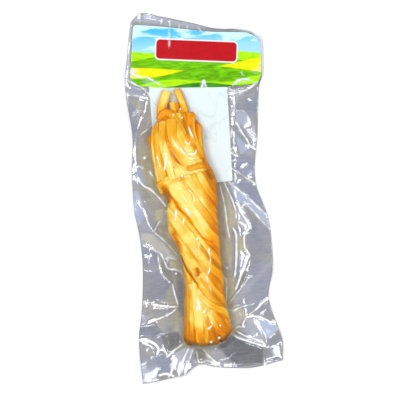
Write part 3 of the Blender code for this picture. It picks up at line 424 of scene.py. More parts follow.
class FilmSettings(PropertyGroup):
    columns: IntProperty(name="Columns", description="Cells across the front film", default=160, min=20)
    rows: IntProperty(name="Rows", description="Cells along the front film", default=414, min=40)
    clearance: FloatProperty(name="Clearance", description="Air between the film and what it clings to",
                             default=0.15 * MM, unit="LENGTH")
    pull: FloatProperty(name="Pull", description="Curvature that the vacuum gives to free film, per metre",
                        default=120.0)
    settling: IntProperty(name="Settling", description="Rounds of letting the film settle", default=700)
    lift: FloatProperty(name="Skirt lift", description="Height of the waves in the flat skirt",
                        default=1.8 * MM, unit="LENGTH")
    crease_sets: IntProperty(name="Crease sets", description="Directions in which the film is creased", default=6)
    crease_slope: FloatProperty(name="Crease slope", description="Slope of one set of creases", default=0.036)
    gloss_colour: FloatVectorProperty(name="Gloss", description="Colour of the film's shine",
                                      subtype="COLOR", default=(0.93, 0.95, 0.98))
    grey: FloatVectorProperty(name="Grey", description="Back film's own grey", subtype="COLOR",
                              default=(0.285, 0.285, 0.305))
    cool_grey: FloatVectorProperty(name="Cool grey", description="Back film's bluish facets",
                                   subtype="COLOR", default=(0.24, 0.27, 0.40))
    warm_grey: FloatVectorProperty(name="Warm grey", description="Back film's olive facets",
                                   subtype="COLOR", default=(0.41, 0.37, 0.22))


class CardSettings(PropertyGroup):
    sky: FloatVectorProperty(name="Sky blue", description="Upper field of the card", subtype="COLOR",
                             default=(0.055, 0.50, 0.96))
    pale_sky: FloatVectorProperty(name="Pale blue", description="Soft bands in the upper field",
                                  subtype="COLOR", default=(0.62, 0.92, 0.98))
    leaf: FloatVectorProperty(name="Leaf green", description="Main lower field", subtype="COLOR",
                              default=(0.20, 0.66, 0.001))
    lime: FloatVectorProperty(name="Lime", description="Pale green wave", subtype="COLOR",
                              default=(0.47, 0.97, 0.002))
    yellow: FloatVectorProperty(name="Yellow", description="Yellow wave", subtype="COLOR",
                                default=(0.97, 0.94, 0.001))
    pine: FloatVectorProperty(name="Dark green", description="Lowest wave", subtype="COLOR",
                              default=(0.035, 0.18, 0.008))
    red: FloatVectorProperty(name="Red", description="Plain bar", subtype="COLOR",
                             default=(0.56, 0.006, 0.013))


class StageSettings(PropertyGroup):
    camera_height: FloatProperty(name="Camera height", description="Camera above the floor",
                                 default=1.35, unit="LENGTH")
    frame_width: FloatProperty(name="Frame width", description="Width of floor in the picture",
                               default=0.324, unit="LENGTH")
    roll: FloatProperty(name="Roll", description="Turn of the camera about its axis", subtype="ANGLE",
                        default=math.radians(-3.2))
    floor_colour: FloatVectorProperty(name="Floor", description="Pale floor", subtype="COLOR",
                                      default=(0.93, 0.93, 0.93))


def smooth_step(low, high, value):
    t = np.clip((np.asarray(value, dtype=float) - low) / (high - low), 0.0, 1.0)
    return t * t * (3 - 2 * t)


def along(table, key):
    """Row values at a key between a table's rows, on a smooth curve through them."""
    last = len(table) - 1
    row = 0
    while row < last - 1 and table[row + 1][0] < key:
        row += 1
    before = table[max(row - 1, 0)]
    start = table[row]
    end = table[row + 1]
    after = table[min(row + 2, last)]
    span = end[0] - start[0]
    t = min(max((key - start[0]) / span, 0.0), 1.0)
    values = []
    for column in range(1, len(start)):
        slope_in = (end[column] - before[column]) / (end[0] - before[0]) * span
        slope_out = (after[column] - start[column]) / (after[0] - start[0]) * span
        values.append(
            start[column] * (1 + 2 * t) * (1 - t) ** 2
            + slope_in * t * (1 - t) ** 2
            + end[column] * t * t * (3 - 2 * t)
            + slope_out * t * t * (t - 1)
        )
    return values


def smooth_route(points, step):
    """Evenly spaced points on a smooth curve through the given ones, as an array."""
    points = np.array(points, dtype=float)
    padded = np.vstack([2 * points[0] - points[1], points, 2 * points[-1] - points[-2]])
    dense = []
    for a, b, c, d in zip(padded[:-3], padded[1:-2], padded[2:-1], padded[3:]):
        for t in np.linspace(0, 1, 12, endpoint=False):
            dense.append(0.5 * (2 * b + (c - a) * t + (2 * a - 5 * b + 4 * c - d) * t ** 2
                                + (3 * b - a - 3 * c + d) * t ** 3))
    dense = np.array(dense + [points[-1]])
    lengths = np.concatenate([[0.0], np.cumsum(np.linalg.norm(np.diff(dense, axis=0), axis=1))])
    count = max(int(round(lengths[-1] / step)), 4)
    wanted = np.linspace(0.0, lengths[-1], count + 1)
    return np.column_stack([np.interp(wanted, lengths, dense[:, axis]) for axis in range(dense.shape[1])])


def new_material(name):
    made = bpy.data.materials.new(name)
    made.use_nodes = True
    return made, made.node_tree.nodes, made.node_tree.links


def maths(nodes, links, operation, first, second=None, third=None, clamp=False):
    """A Math node whose inputs are numbers or sockets."""
    node = nodes.new("ShaderNodeMath")
    node.operation = operation
    node.use_clamp = clamp
    for socket, value in zip(node.inputs, (first, second, third)):
        if value is None:
            continue
        if isinstance(value, (int, float)):
            socket.default_value = value
        else:
            links.new(value, socket)
    return node.outputs[0]


def blend_colour(nodes, links, share, first, second):
    """A Mix node between two colours or sockets."""
    node = nodes.new("ShaderNodeMix")
    node.data_type = "RGBA"
    for socket, value in ((node.inputs[0], share), (node.inputs[6], first), (node.inputs[7], second)):
        if isinstance(value, (int, float)):
            socket.default_value = value
        elif isinstance(value, bpy.types.NodeSocket):
            links.new(value, socket)
        else:
            socket.default_value = (*value[:3], 1.0)
    return node.outputs[2]


def spread(nodes, links, value, low, high, start=0.0, end=1.0, smooth=True):
    """A Map Range node that is held at its ends."""
    node = nodes.new("ShaderNodeMapRange")
    node.interpolation_type = "SMOOTHSTEP" if smooth else "LINEAR"
    links.new(value, node.inputs["Value"])
    for name, number in (("From Min", low), ("From Max", high), ("To Min", start), ("To Max", end)):
        node.inputs[name].default_value = number
    return node.outputs["Result"]


def noise(nodes, links, vector, scale, detail=3.0, roughness=0.55, distortion=0.0):
    node = nodes.new("ShaderNodeTexNoise")
    node.inputs["Scale"].default_value = scale
    node.inputs["Detail"].default_value = detail
    node.inputs["Roughness"].default_value = roughness
    node.inputs["Distortion"].default_value = distortion
    links.new(vector, node.inputs["Vector"])
    return node.outputs["Fac"]


def mapping(nodes, links, vector, location=(0, 0, 0), rotation=(0, 0, 0), scale=(1, 1, 1)):
    node = nodes.new("ShaderNodeMapping")
    node.inputs["Location"].default_value = location
    node.inputs["Rotation"].default_value = rotation
    node.inputs["Scale"].default_value = scale
    links.new(vector, node.inputs["Vector"])
    return node.outputs["Vector"]


def bump(nodes, links, height, distance, strength, target):
    node = nodes.new("ShaderNodeBump")
    node.inputs["Distance"].default_value = distance
    node.inputs["Strength"].default_value = strength
    links.new(height, node.inputs["Height"])
    links.new(node.outputs["Normal"], target)


def object_axes(nodes, links):
    coordinates = nodes.new("ShaderNodeTexCoord").outputs["Object"]
    split = nodes.new("ShaderNodeSeparateXYZ")
    links.new(coordinates, split.inputs[0])
    return coordinates, split.outputs[0], split.outputs[1], split.outputs[2]


def attribute(nodes, name):
    node = nodes.new("ShaderNodeAttribute")
    node.attribute_name = name
    return node.outputs["Fac"]


def cheese_material(settings):
    """Satin smoked rind: pale crowns and fine fibres along each strand, with amber painted shade in the seams, grooves
    and gap, on the hank's right side and towards its lower end, and brown painted shade on the cut end's rim.
    """
    made, nodes, links = new_material("smoked cheese")
    shader = nodes["Principled BSDF"]
    coordinates, x, y, z = object_axes(nodes, links)
    strand_uv = nodes.new("ShaderNodeUVMap")
    strand_uv.uv_map = "strand"
    tone = attribute(nodes, "tone")
    # The seam attribute is painted shade: full on a strand's underside, rising towards its sides.
    seam = attribute(nodes, "seam")

    along_it = strand_uv.outputs[0]
    fibres = noise(nodes, links, mapping(nodes, links, along_it, scale=(9.0, 0.45, 1.0)), 2.0, 4.0, 0.6)
    streaks = noise(nodes, links, mapping(nodes, links, along_it, scale=(5.5, 0.32, 1.0)), 1.4, 2.0, 0.55)
    patches = noise(nodes, links, mapping(nodes, links, along_it, scale=(1.1, 0.75, 1.0)), 1.0, 2.0, 0.5, 0.4)
    clouds = noise(nodes, links, coordinates, 55.0, 3.0, 0.5)
    mottling = noise(nodes, links, coordinates, 420.0, 3.0, 0.6)

    # Painted shade: more orange on the hank's right side, away from the key light; towards the flared lower end,
    # partly the end's own deeper orange and partly painted shade where its surfaces fall away.
    right_side = spread(nodes, links, x, -0.003, 0.009)
    low_end = spread(nodes, links, y, -0.096, -0.112)
    # Painted shade: the rim of the cut end, curved up at its sides, goes amber and then brown.
    from_middle = maths(nodes, links, "ADD", x, 0.004)
    curved_end = maths(nodes, links, "MULTIPLY", maths(nodes, links, "MULTIPLY", from_middle, from_middle), 19.0)
    rim = spread(nodes, links, maths(nodes, links, "SUBTRACT", y, curved_end), -0.1166, -0.1198)
    top_end = spread(nodes, links, y, 0.034, 0.064)
    top_end = maths(nodes, links, "MULTIPLY", top_end, spread(nodes, links, y, 0.069, 0.078, 1.0, 0.1))
    # Painted shade in the gap between two strands, stronger on its right side.
    gap_x = maths(nodes, links, "MULTIPLY_ADD", x, 1 / (STRAND_GAP[2] * MM), -STRAND_GAP[0] / STRAND_GAP[2])
    gap_y = maths(nodes, links, "MULTIPLY_ADD", y, 1 / (STRAND_GAP[3] * MM), -STRAND_GAP[1] / STRAND_GAP[3])
    gap_reach = maths(nodes, links, "SQRT", maths(
        nodes, links, "ADD", maths(nodes, links, "MULTIPLY", gap_x, gap_x), maths(nodes, links, "MULTIPLY", gap_y, gap_y)))
    in_gap = spread(nodes, links, gap_reach, 1.02, 0.84)
    in_gap = maths(nodes, links, "MULTIPLY", in_gap, spread(nodes, links, gap_x, -0.5, 0.2, 0.55, 1.3))
    in_gap = maths(nodes, links, "MULTIPLY", in_gap, spread(nodes, links, z, 0.014, 0.016))
    skin = maths(nodes, links, "MULTIPLY", spread(nodes, links, y, 0.036, 0.024), spread(nodes, links, y, -0.016, 0.004))
    skin = maths(nodes, links, "MULTIPLY", skin, spread(nodes, links, x, 0.006, -0.004))
    skin = maths(nodes, links, "MULTIPLY", skin, spread(nodes, links, x, -0.034, -0.022, 0.25, 1.0))
    seam = maths(nodes, links, "MULTIPLY", seam, maths(nodes, links, "MULTIPLY_ADD", skin, -0.75, 1.0))
    tone_share = maths(nodes, links, "MULTIPLY_ADD", right_side, 0.22, 0.42)
    depth = maths(nodes, links, "MULTIPLY_ADD", maths(nodes, links, "MULTIPLY", tone, tone_share), 1.0, -1.30)
    for part, share in ((right_side, 0.47), (skin, -0.12), (low_end, 0.56), (rim, 0.40), (top_end, 0.26), (seam, 0.42), (streaks, 1.05),
                        (patches, 0.85), (clouds, 0.30), (fibres, 0.65), (in_gap, 0.85)):
        depth = maths(nodes, links, "MULTIPLY_ADD", part, share, depth)

    ramp = nodes.new("ShaderNodeValToRGB")
    stops = ramp.color_ramp.elements
    stops[0].color = (*settings.pale, 1.0)
    stops[1].color = (*settings.amber, 1.0)
    for position, colour in ((0.30, settings.golden), (0.62, settings.orange)):
        stops.new(position).color = (*colour, 1.0)
    links.new(depth, ramp.inputs[0])
    # Painted shade: brown on the cut end's rim, in the gap and where grooves leave the most tone.
    dark = maths(nodes, links, "MAXIMUM", maths(nodes, links, "MULTIPLY", rim, 0.75),
                 maths(nodes, links, "MULTIPLY_ADD", in_gap, 0.45, -0.25))
    dark = maths(nodes, links, "MAXIMUM", dark, spread(nodes, links, tone, 1.55, 2.7, 0.0, 0.55))
    links.new(blend_colour(nodes, links, dark, ramp.outputs[0], settings.shade_brown), shader.inputs["Base Color"])

    roughness = maths(nodes, links, "MULTIPLY_ADD", mottling, 0.16, 0.36)
    links.new(roughness, shader.inputs["Roughness"])
    shader.inputs["Subsurface Weight"].default_value = 0.25
    shader.inputs["Subsurface Radius"].default_value = (1.0, 0.45, 0.12)
    shader.inputs["Subsurface Scale"].default_value = 0.003
    shader.inputs["Specular IOR Level"].default_value = 0.13
    shader.inputs["Coat Weight"].default_value = 0.02
    shader.inputs["Coat Roughness"].default_value = 0.22
    relief = maths(nodes, links, "MULTIPLY_ADD", mottling, 0.3, fibres)
    relief = maths(nodes, links, "MULTIPLY_ADD", streaks, 1.6, relief)
    bump(nodes, links, relief, 0.0009, 0.7, shader.inputs["Normal"])
    return made


def core_material(settings):
    """Inner cheese that shows only in gaps between the strands, amber to orange as painted shade in those gaps."""
    made, nodes, links = new_material("inner cheese")
    shader = nodes["Principled BSDF"]
    coordinates, _, _, _ = object_axes(nodes, links)
    grain = noise(nodes, links, mapping(nodes, links, coordinates, scale=(1.0, 0.2, 1.0)), 500.0, 3.0)
    links.new(blend_colour(nodes, links, grain, settings.amber, settings.orange), shader.inputs["Base Color"])
    shader.inputs["Roughness"].default_value = 0.6
    shader.inputs["Specular IOR Level"].default_value = 0.08
    bump(nodes, links, grain, 0.0003, 0.5, shader.inputs["Normal"])
    return made


def card_material(settings):
    """Glossy print: a sky field with soft bands, sweeping green and yellow waves and a plain red bar."""
    made, nodes, links = new_material("printed card")
    shader = nodes["Principled BSDF"]
    coordinates, x, y, z = object_axes(nodes, links)

    def wave(level, tilt, height, per_metre, shift, softness=0.0005):
        """1 below a wavy line, 0 above it."""
        turn = maths(nodes, links, "MULTIPLY_ADD", x, per_metre, shift)
        line = maths(nodes, links, "MULTIPLY", maths(nodes, links, "SINE", turn), height)
        line = maths(nodes, links, "MULTIPLY_ADD", x, tilt, line)
        above = maths(nodes, links, "SUBTRACT", y, line)
        return spread(nodes, links, above, level + softness, level - softness)

    bands = noise(nodes, links, mapping(nodes, links, coordinates, scale=(1.0, 2.6, 1.0)), 34.0, 3.0, 0.55, 0.6)
    bands = spread(nodes, links, bands, 0.44, 0.56)
    low_sky = spread(nodes, links, y, 0.138, 0.115)
    paleness = maths(nodes, links, "MAXIMUM", bands, maths(nodes, links, "MULTIPLY", low_sky, 0.55))
    colour = blend_colour(nodes, links, paleness, settings.sky, settings.pale_sky)
    grain = noise(nodes, links, mapping(nodes, links, coordinates, scale=(0.5, 2.4, 1.0)), 260.0, 4.0, 0.6)
    shading = spread(nodes, links, grain, 0.36, 0.66)
    lime = blend_colour(nodes, links, shading, settings.lime, [0.72 * c for c in settings.lime])
    leaf = blend_colour(nodes, links, shading, settings.leaf, [0.52 * c for c in settings.leaf])
    yellow = blend_colour(nodes, links, shading, settings.yellow, [0.80 * c for c in settings.yellow])
    pine = blend_colour(nodes, links, shading, settings.pine, [1.9 * c for c in settings.pine])
    for share, layer in (
        (wave(0.1165, -0.065, 0.0016, 62.0, 0.4, 0.0009), lime),
        (wave(0.1105, -0.020, 0.0034, 46.0, 2.2), leaf),
        (wave(0.1045, 0.030, 0.0030, 52.0, 4.6), yellow),
        (wave(0.1000, -0.010, 0.0036, 58.0, 0.9), leaf),
        (wave(0.0925, 0.010, 0.0022, 75.0, 3.1, 0.0008), lime),
        (wave(0.0895, -0.020, 0.0016, 95.0, 1.3), pine),
    ):
        colour = blend_colour(nodes, links, share, colour, layer)

    bar = mapping(nodes, links, coordinates, location=(-0.0015, -0.1170, 0.0))
    bar = mapping(nodes, links, bar, rotation=(0.0, 0.0, math.radians(5.5)))
    split = nodes.new("ShaderNodeSeparateXYZ")
    links.new(bar, split.inputs[0])
    corner = 0.0030
    out_x = maths(nodes, links, "SUBTRACT", maths(nodes, links, "ABSOLUTE", split.outputs[0]), 0.0325 - corner)
    out_y = maths(nodes, links, "SUBTRACT", maths(nodes, links, "ABSOLUTE", split.outputs[1]), 0.0078 - corner)
    out_x = maths(nodes, links, "MAXIMUM", out_x, 0.0)
    out_y = maths(nodes, links, "MAXIMUM", out_y, 0.0)
    reach = maths(nodes, links, "SQRT", maths(
        nodes, links, "ADD", maths(nodes, links, "MULTIPLY", out_x, out_x), maths(nodes, links, "MULTIPLY", out_y, out_y)))
    border = spread(nodes, links, reach, corner + 0.0013, corner + 0.0009)
    field = spread(nodes, links, reach, corner + 0.0002, corner - 0.0002)
    inner = maths(nodes, links, "MULTIPLY", spread(nodes, links, reach, corner - 0.0014, corner - 0.0010),
                  spread(nodes, links, reach, corner - 0.0018, corner - 0.0022, 1.0, 0.0))
    colour = blend_colour(nodes, links, border, colour, (0.80, 0.84, 0.88))
    red = blend_colour(nodes, links, shading, settings.red, [0.82 * c for c in settings.red])
    colour = blend_colour(nodes, links, field, colour, red)
    colour = blend_colour(nodes, links, maths(nodes, links, "MULTIPLY", inner, 0.0), colour, (0.9, 0.9, 0.9))

    card_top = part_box("header_card")[1][2]
    printed = spread(nodes, links, z, card_top - 0.00008, card_top - 0.00004)
    colour = blend_colour(nodes, links, printed, (0.86, 0.86, 0.84), colour)
    links.new(colour, shader.inputs["Base Color"])
    links.new(maths(nodes, links, "MULTIPLY_ADD", grain, 0.10, 0.40), shader.inputs["Roughness"])
    shader.inputs["Specular IOR Level"].default_value = 0.05
    bump(nodes, links, noise(nodes, links, coordinates, 900.0, 2.0), 0.00005, 0.3, shader.inputs["Normal"])
    return made


def label_material():
    """Smooth white paper with a faint blue cast and fibre, with painted bluish shade along soft lines where the film
    is creased over it and painted highlights on lighter patches.
    """
    made, nodes, links = new_material("white label paper")
    shader = nodes["Principled BSDF"]
    coordinates, _, _, _ = object_axes(nodes, links)
    fibre = noise(nodes, links, coordinates, 700.0, 4.0, 0.6)
    cast = noise(nodes, links, coordinates, 26.0, 2.0)
    colour = blend_colour(nodes, links, cast, (0.68, 0.81, 0.85), (0.74, 0.84, 0.87))
    colour = blend_colour(nodes, links, maths(nodes, links, "MULTIPLY", fibre, 0.12), colour, (0.78, 0.82, 0.85))
    slanted = mapping(nodes, links, coordinates, rotation=(0.0, 0.0, -0.45), scale=(1.0, 0.45, 1.0))
    drape = noise(nodes, links, slanted, 38.0, 1.0, 0.4, 0.7)
    off_crease = maths(nodes, links, "ABSOLUTE", maths(nodes, links, "SUBTRACT", drape, 0.5))
    # Painted shade: thin bluish lines where the film creases over the label.
    painted_crease_mark = spread(nodes, links, off_crease, 0.035, 0.0, 0.0, 0.45)
    colour = blend_colour(nodes, links, painted_crease_mark, colour, (0.52, 0.67, 0.74))
    # Painted highlight: lighter soft patches between those lines.
    painted_sheen = spread(nodes, links, drape, 0.56, 0.72, 0.0, 0.5)
    colour = blend_colour(nodes, links, painted_sheen, colour, (0.84, 0.90, 0.92))
    links.new(colour, shader.inputs["Base Color"])
    shader.inputs["Roughness"].default_value = 0.55
    bump(nodes, links, fibre, 0.00006, 0.4, shader.inputs["Normal"])
    return made


def front_film_material(settings):
    """Clear glossy film: almost unseen where it is smooth, with painted glare on the lighter facets and painted white
    glints along its folds and on its dimples, warm over the cheese.
    """
    made, nodes, links = new_material("clear front film")
    shader = nodes["Principled BSDF"]
    coordinates, _, _, z = object_axes(nodes, links)
    fold_glint = attribute(nodes, "fold_glint")
    over = attribute(nodes, "over")
    haze = noise(nodes, links, coordinates, 45.0, 3.0, 0.55, 0.8)
    fine = noise(nodes, links, coordinates, 800.0, 3.0, 0.6)
    clear = spread(nodes, links, over, 0.0, 1.0, 0.080, 0.006)
    clear = maths(nodes, links, "MULTIPLY", clear, spread(nodes, links, haze, 0.40, 0.75, 0.85, 1.5))
    # Painted glints: the film turns white along the folds and on the dimples, warm over the cheese.
    painted_crease_mark = maths(nodes, links, "POWER", fold_glint, 1.2)
    # Painted glare: the film whitened on the lighter facets.
    painted_glare = maths(nodes, links, "MAXIMUM", attribute(nodes, "light"), 0.0)
    painted_glare = maths(nodes, links, "MULTIPLY", painted_glare, 0.55)
    white = maths(nodes, links, "ADD", maths(nodes, links, "MULTIPLY", painted_crease_mark, 1.0), painted_glare, clamp=True)
    links.new(maths(nodes, links, "ADD", clear, white, clamp=True), shader.inputs["Alpha"])
    warmth = spread(nodes, links, attribute(nodes, "warmth"), -1.0, 0.5, 0.0, 1.0, smooth=False)
    tint = blend_colour(nodes, links, warmth, (0.72, 0.82, 1.0), settings.gloss_colour)
    warm_glint = blend_colour(nodes, links, spread(nodes, links, fold_glint, 0.55, 0.95), (1.0, 0.90, 0.34), (1.0, 1.0, 0.97))
    over_cheese = maths(nodes, links, "MULTIPLY", over, spread(nodes, links, z, 0.009, 0.014))
    glint_tint = blend_colour(nodes, links, over_cheese, (0.97, 0.99, 1.0), warm_glint)
    glint_share = maths(nodes, links, "DIVIDE", painted_crease_mark, maths(nodes, links, "ADD", maths(nodes, links, "ADD", painted_crease_mark, painted_glare), 0.03))
    links.new(blend_colour(nodes, links, glint_share, tint, glint_tint), shader.inputs["Base Color"])
    whiteness = maths(nodes, links, "DIVIDE", white, maths(nodes, links, "ADD", maths(nodes, links, "ADD", clear, white), 0.001))
    links.new(maths(nodes, links, "SUBTRACT", 1.0, whiteness, clamp=True), shader.inputs["Metallic"])
    links.new(maths(nodes, links, "MULTIPLY_ADD", fine, 0.06, 0.10), shader.inputs["Roughness"])
    bump(nodes, links, fine, 0.00004, 0.25, shader.inputs["Normal"])
    return made


def back_film_material(settings):
    """Grey back film with cool and olive facets, painted lighter and darker facet by facet, and a faint crosswise
    grain.
    """
    made, nodes, links = new_material("grey back film")
    shader = nodes["Principled BSDF"]
    coordinates, _, _, _ = object_axes(nodes, links)
    facets = nodes.new("ShaderNodeTexVoronoi")
    facets.inputs["Scale"].default_value = 55.0
    facets.inputs["Randomness"].default_value = 1.0
    links.new(mapping(nodes, links, coordinates, rotation=(0, 0, 0.5), scale=(1.0, 0.6, 1.0)), facets.inputs["Vector"])
    patch = nodes.new("ShaderNodeSeparateColor")
    links.new(facets.outputs["Color"], patch.inputs[0])
    drift = noise(nodes, links, coordinates, 26.0, 3.0, 0.6, 0.5)
    warmth = maths(nodes, links, "MULTIPLY_ADD", maths(nodes, links, "SUBTRACT", drift, 0.5), 1.6, attribute(nodes, "warmth"))
    warmth = maths(nodes, links, "MULTIPLY_ADD", maths(nodes, links, "SUBTRACT", patch.outputs[1], 0.5), 0.35, warmth)
    cool = maths(nodes, links, "MULTIPLY", warmth, -1.0, clamp=True)
    colour = blend_colour(nodes, links, cool, settings.grey, settings.cool_grey)
    colour = blend_colour(nodes, links, maths(nodes, links, "MULTIPLY", warmth, 1.0, clamp=True), colour, settings.warm_grey)
    grain = noise(nodes, links, mapping(nodes, links, coordinates, scale=(0.16, 1.0, 1.0)), 900.0, 3.0, 0.7)
    # Painted light and shade: the grey is lightened and darkened by each facet's lightness.
    light = maths(nodes, links, "MULTIPLY_ADD", attribute(nodes, "light"), 1.15, 1.0)
    light = maths(nodes, links, "MULTIPLY_ADD", maths(nodes, links, "SUBTRACT", patch.outputs[0], 0.5), 0.16, light)
    light = maths(nodes, links, "MULTIPLY_ADD", maths(nodes, links, "SUBTRACT", drift, 0.5), 0.45, light)
    light = maths(nodes, links, "MULTIPLY_ADD", maths(nodes, links, "SUBTRACT", grain, 0.5), 0.70, light)
    scale = nodes.new("ShaderNodeVectorMath")
    scale.operation = "SCALE"
    links.new(colour, scale.inputs[0])
    links.new(light, scale.inputs["Scale"])
    links.new(scale.outputs[0], shader.inputs["Base Color"])
    solid = spread(nodes, links, drift, 0.3, 0.7, 0.88, 0.94)
    # The back film turns almost clear where the painted glare is strongest.
    slack = spread(nodes, links, attribute(nodes, "light"), 0.80, 1.0, 1.0, 0.10)
    links.new(maths(nodes, links, "MULTIPLY", solid, slack), shader.inputs["Alpha"])
    shader.inputs["Roughness"].default_value = 0.40
    return made


def finished(bm, name, looks, smooth=True):
    """The mesh in metres as an object at the origin, with its normals outward."""
    bmesh.ops.recalc_face_normals(bm, faces=bm.faces)
    bmesh.ops.transform(bm, matrix=Matrix.Scale(MM, 4), verts=bm.verts)
    mesh = bpy.data.meshes.new(name)
    bm.to_mesh(mesh)
    bm.free()
    if smooth:
        mesh.shade_smooth()
    for look in looks:
        mesh.materials.append(look)
    made = bpy.data.objects.new(name, mesh)
    bpy.context.scene.collection.objects.link(made)
    return made


def hank_surface(y, angle, inset=0.0):
    """A point on the plain hank at an angle round it, 0 to the right and a quarter turn up."""
    left, right, height = along(HANK_SECTIONS, y)
    across = math.cos(angle)
    up = math.sin(angle)
    x = (left + right) / 2 + ((right - left) / 2 - inset) * math.copysign(abs(across) ** SECTION_SQUARENESS, across)
    z = HANK_BED + height / 2 + (height / 2 - inset) * math.copysign(abs(up) ** SECTION_SQUARENESS, up)
    return Vector((x, y, z))


def hank_angle(x, y):
    """The angle round the plain hank of its upper side's point over x and y."""
    left, right, _ = along(HANK_SECTIONS, y)
    share = (x - (left + right) / 2) / ((right - left) / 2)
    share = math.copysign(abs(share) ** (1 / SECTION_SQUARENESS), share)
    return math.acos(min(max(share, -1.0), 1.0))


def hank_normal(y, angle):
    """The direction straight out of the plain hank."""
    small = 0.02
    round_it = hank_surface(y, angle + small) - hank_surface(y, angle - small)
    along_it = hank_surface(y + 1.0, angle) - hank_surface(y - 1.0, angle)
    return round_it.cross(along_it).normalized() * -1.0


def add_strand(bm, centres, normals, half_widths, half_thicknesses, tone, settings, blunt=False):
    """One closed strand with a flattened section, swept along its centre line."""
    uv_layer = bm.loops.layers.uv["strand"]
    tone_layer = bm.verts.layers.float["tone"]
    seam_layer = bm.verts.layers.float["seam"]
    last = len(centres) - 1
    rings = last + 2
    grid = bmesh.ops.create_grid(bm, x_segments=settings.ring_points, y_segments=rings, size=0.5)
    verts = grid["verts"]
    places = [(vert.co.x + 0.5, vert.co.y + 0.5) for vert in verts]
    length = sum((b - a).length for a, b in zip(centres, centres[1:]))
    for face in {face for vert in verts for face in vert.link_faces}:
        for loop in face.loops:
            loop[uv_layer].uv = (loop.vert.co.x + 0.5 + tone * 7.0, (loop.vert.co.y + 0.5) * length * 0.1 + tone * 3.0)
    for vert, (round_share, along_share) in zip(verts, places):
        ring = round(along_share * rings)
        station = min(max(ring - 1, 0), last)
        ahead = centres[min(station + 1, last)] - centres[max(station - 1, 0)]
        tangent = ahead.normalized()
        side = tangent.cross(normals[station]).normalized()
        up = side.cross(tangent).normalized()
        from_end = min(station, last - station)
        size = BLUNT_END[min(from_end, 1)] if blunt else ROUND_END[min(from_end, 3)]
        if ring in (0, rings):
            size = 0.0
        turn = 2 * math.pi * round_share
        across = math.copysign(abs(math.cos(turn)) ** STRAND_SQUARENESS, math.cos(turn))
        rise = math.copysign(abs(math.sin(turn)) ** STRAND_SQUARENESS, math.sin(turn))
        vert.co = (centres[station] + side * half_widths[station] * size * across
                   + up * half_thicknesses[station] * size * rise)
        vert[tone_layer] = tone
        # Painted shade: seam is full on the strand's underside and rises towards its sides.
        vert[seam_layer] = float(smooth_step(0.62, 1.0, abs(across))) if rise > -0.3 else 1.0


def strand_bmesh():
    bm = bmesh.new()
    bm.loops.layers.uv.new("strand")
    bm.verts.layers.float.new("tone")
    bm.verts.layers.float.new("seam")
    return bm


def seen_from_above(route):
    """A route given from above as turns round the hank: a list of (angle in degrees, y)."""
    return [(math.degrees(hank_angle(x, y)), y) for x, y in route]


def carried_round(turns):
    """The route carried on round the hank's sides, at the twist's pitch, where it starts or ends at a side."""
    slope = HANK_LEAD / 360.0
    result = list(turns)
    if turns[0][0] > SIDE_TURN:
        angle, y = turns[0]
        result = [(angle + step, y + slope * step) for step in (75, 50, 25)] + result
    if turns[-1][0] < 180 - SIDE_TURN:
        angle, y = turns[-1]
        result += [(angle - step, y - slope * step) for step in (25, 50, 75)]
    return result


def lay_strand(bm, turns, half_width, half_thickness, lift, tone, settings, rng, blunt=False):
    """A strand on the hank's surface, along turns round it."""
    girth = 0.25
    path = smooth_route([(angle * girth, y) for angle, y in turns], settings.step / MM)
    low = HANK_SECTIONS[0][0] - 0.5
    high = HANK_SECTIONS[-1][0] + 1.5
    centres = []
    normals = []
    widths = []
    phase = rng.uniform(0, 6.28)
    for index, (turn, y) in enumerate(path):
        if not low <= y <= high:
            continue
        angle = math.radians(turn / girth)
        normal = hank_normal(y, angle)
        topside = max(math.sin(angle), 0.0) ** 0.5
        raised = lift * topside - 0.3 * (1 - topside) + 0.22 * math.sin(index * 0.11 + phase)
        if blunt:
            raised += 1.1 * max(0.0, 1 - index / 9)
        centres.append(hank_surface(y, angle) + normal * (raised - half_thickness))
        normals.append(normal)
        widths.append(half_width * settings.fullness * (1.0 + 0.10 * math.sin(index * 0.13 + phase * 2)))
    add_strand(bm, centres, normals, widths, [half_thickness] * len(centres), tone, settings, blunt)


def slant_end(bm):
    """Draws the lower end in, its right corner most, so that the cut end runs up to the right."""
    for vert in bm.verts:
        reach = smooth_step(-104.0, -119.0, vert.co.y)
        vert.co.y += (1.2 + 0.46 * max(0.0, vert.co.x - 4.5)) * float(reach)


def back_strands():
    """Strands of the underside and lower sides, as turns: sleeve first, then the flared end."""
    rows = []
    for index, angle in enumerate(range(192, 352, 16)):
        sway = 3.0 * math.sin(index * 1.7)
        top = 50.0 if angle < 230 else 58.0 + sway
        rows.append(([(angle, top), (angle, 35.0), (angle, 12.0 + sway)], 3.4, 2.3, 0.0, 0.3 + 0.3 * (index % 2)))
    for index, angle in enumerate(range(190, 356, 18)):
        sway = 2.0 * math.sin(index * 2.3)
        rows.append(([(angle - 6, -78.0 + sway), (angle, -100.0), (angle, -120.5)], 3.4, 2.3, 0.1, 0.4 + 0.25 * (index % 2)))
    return rows


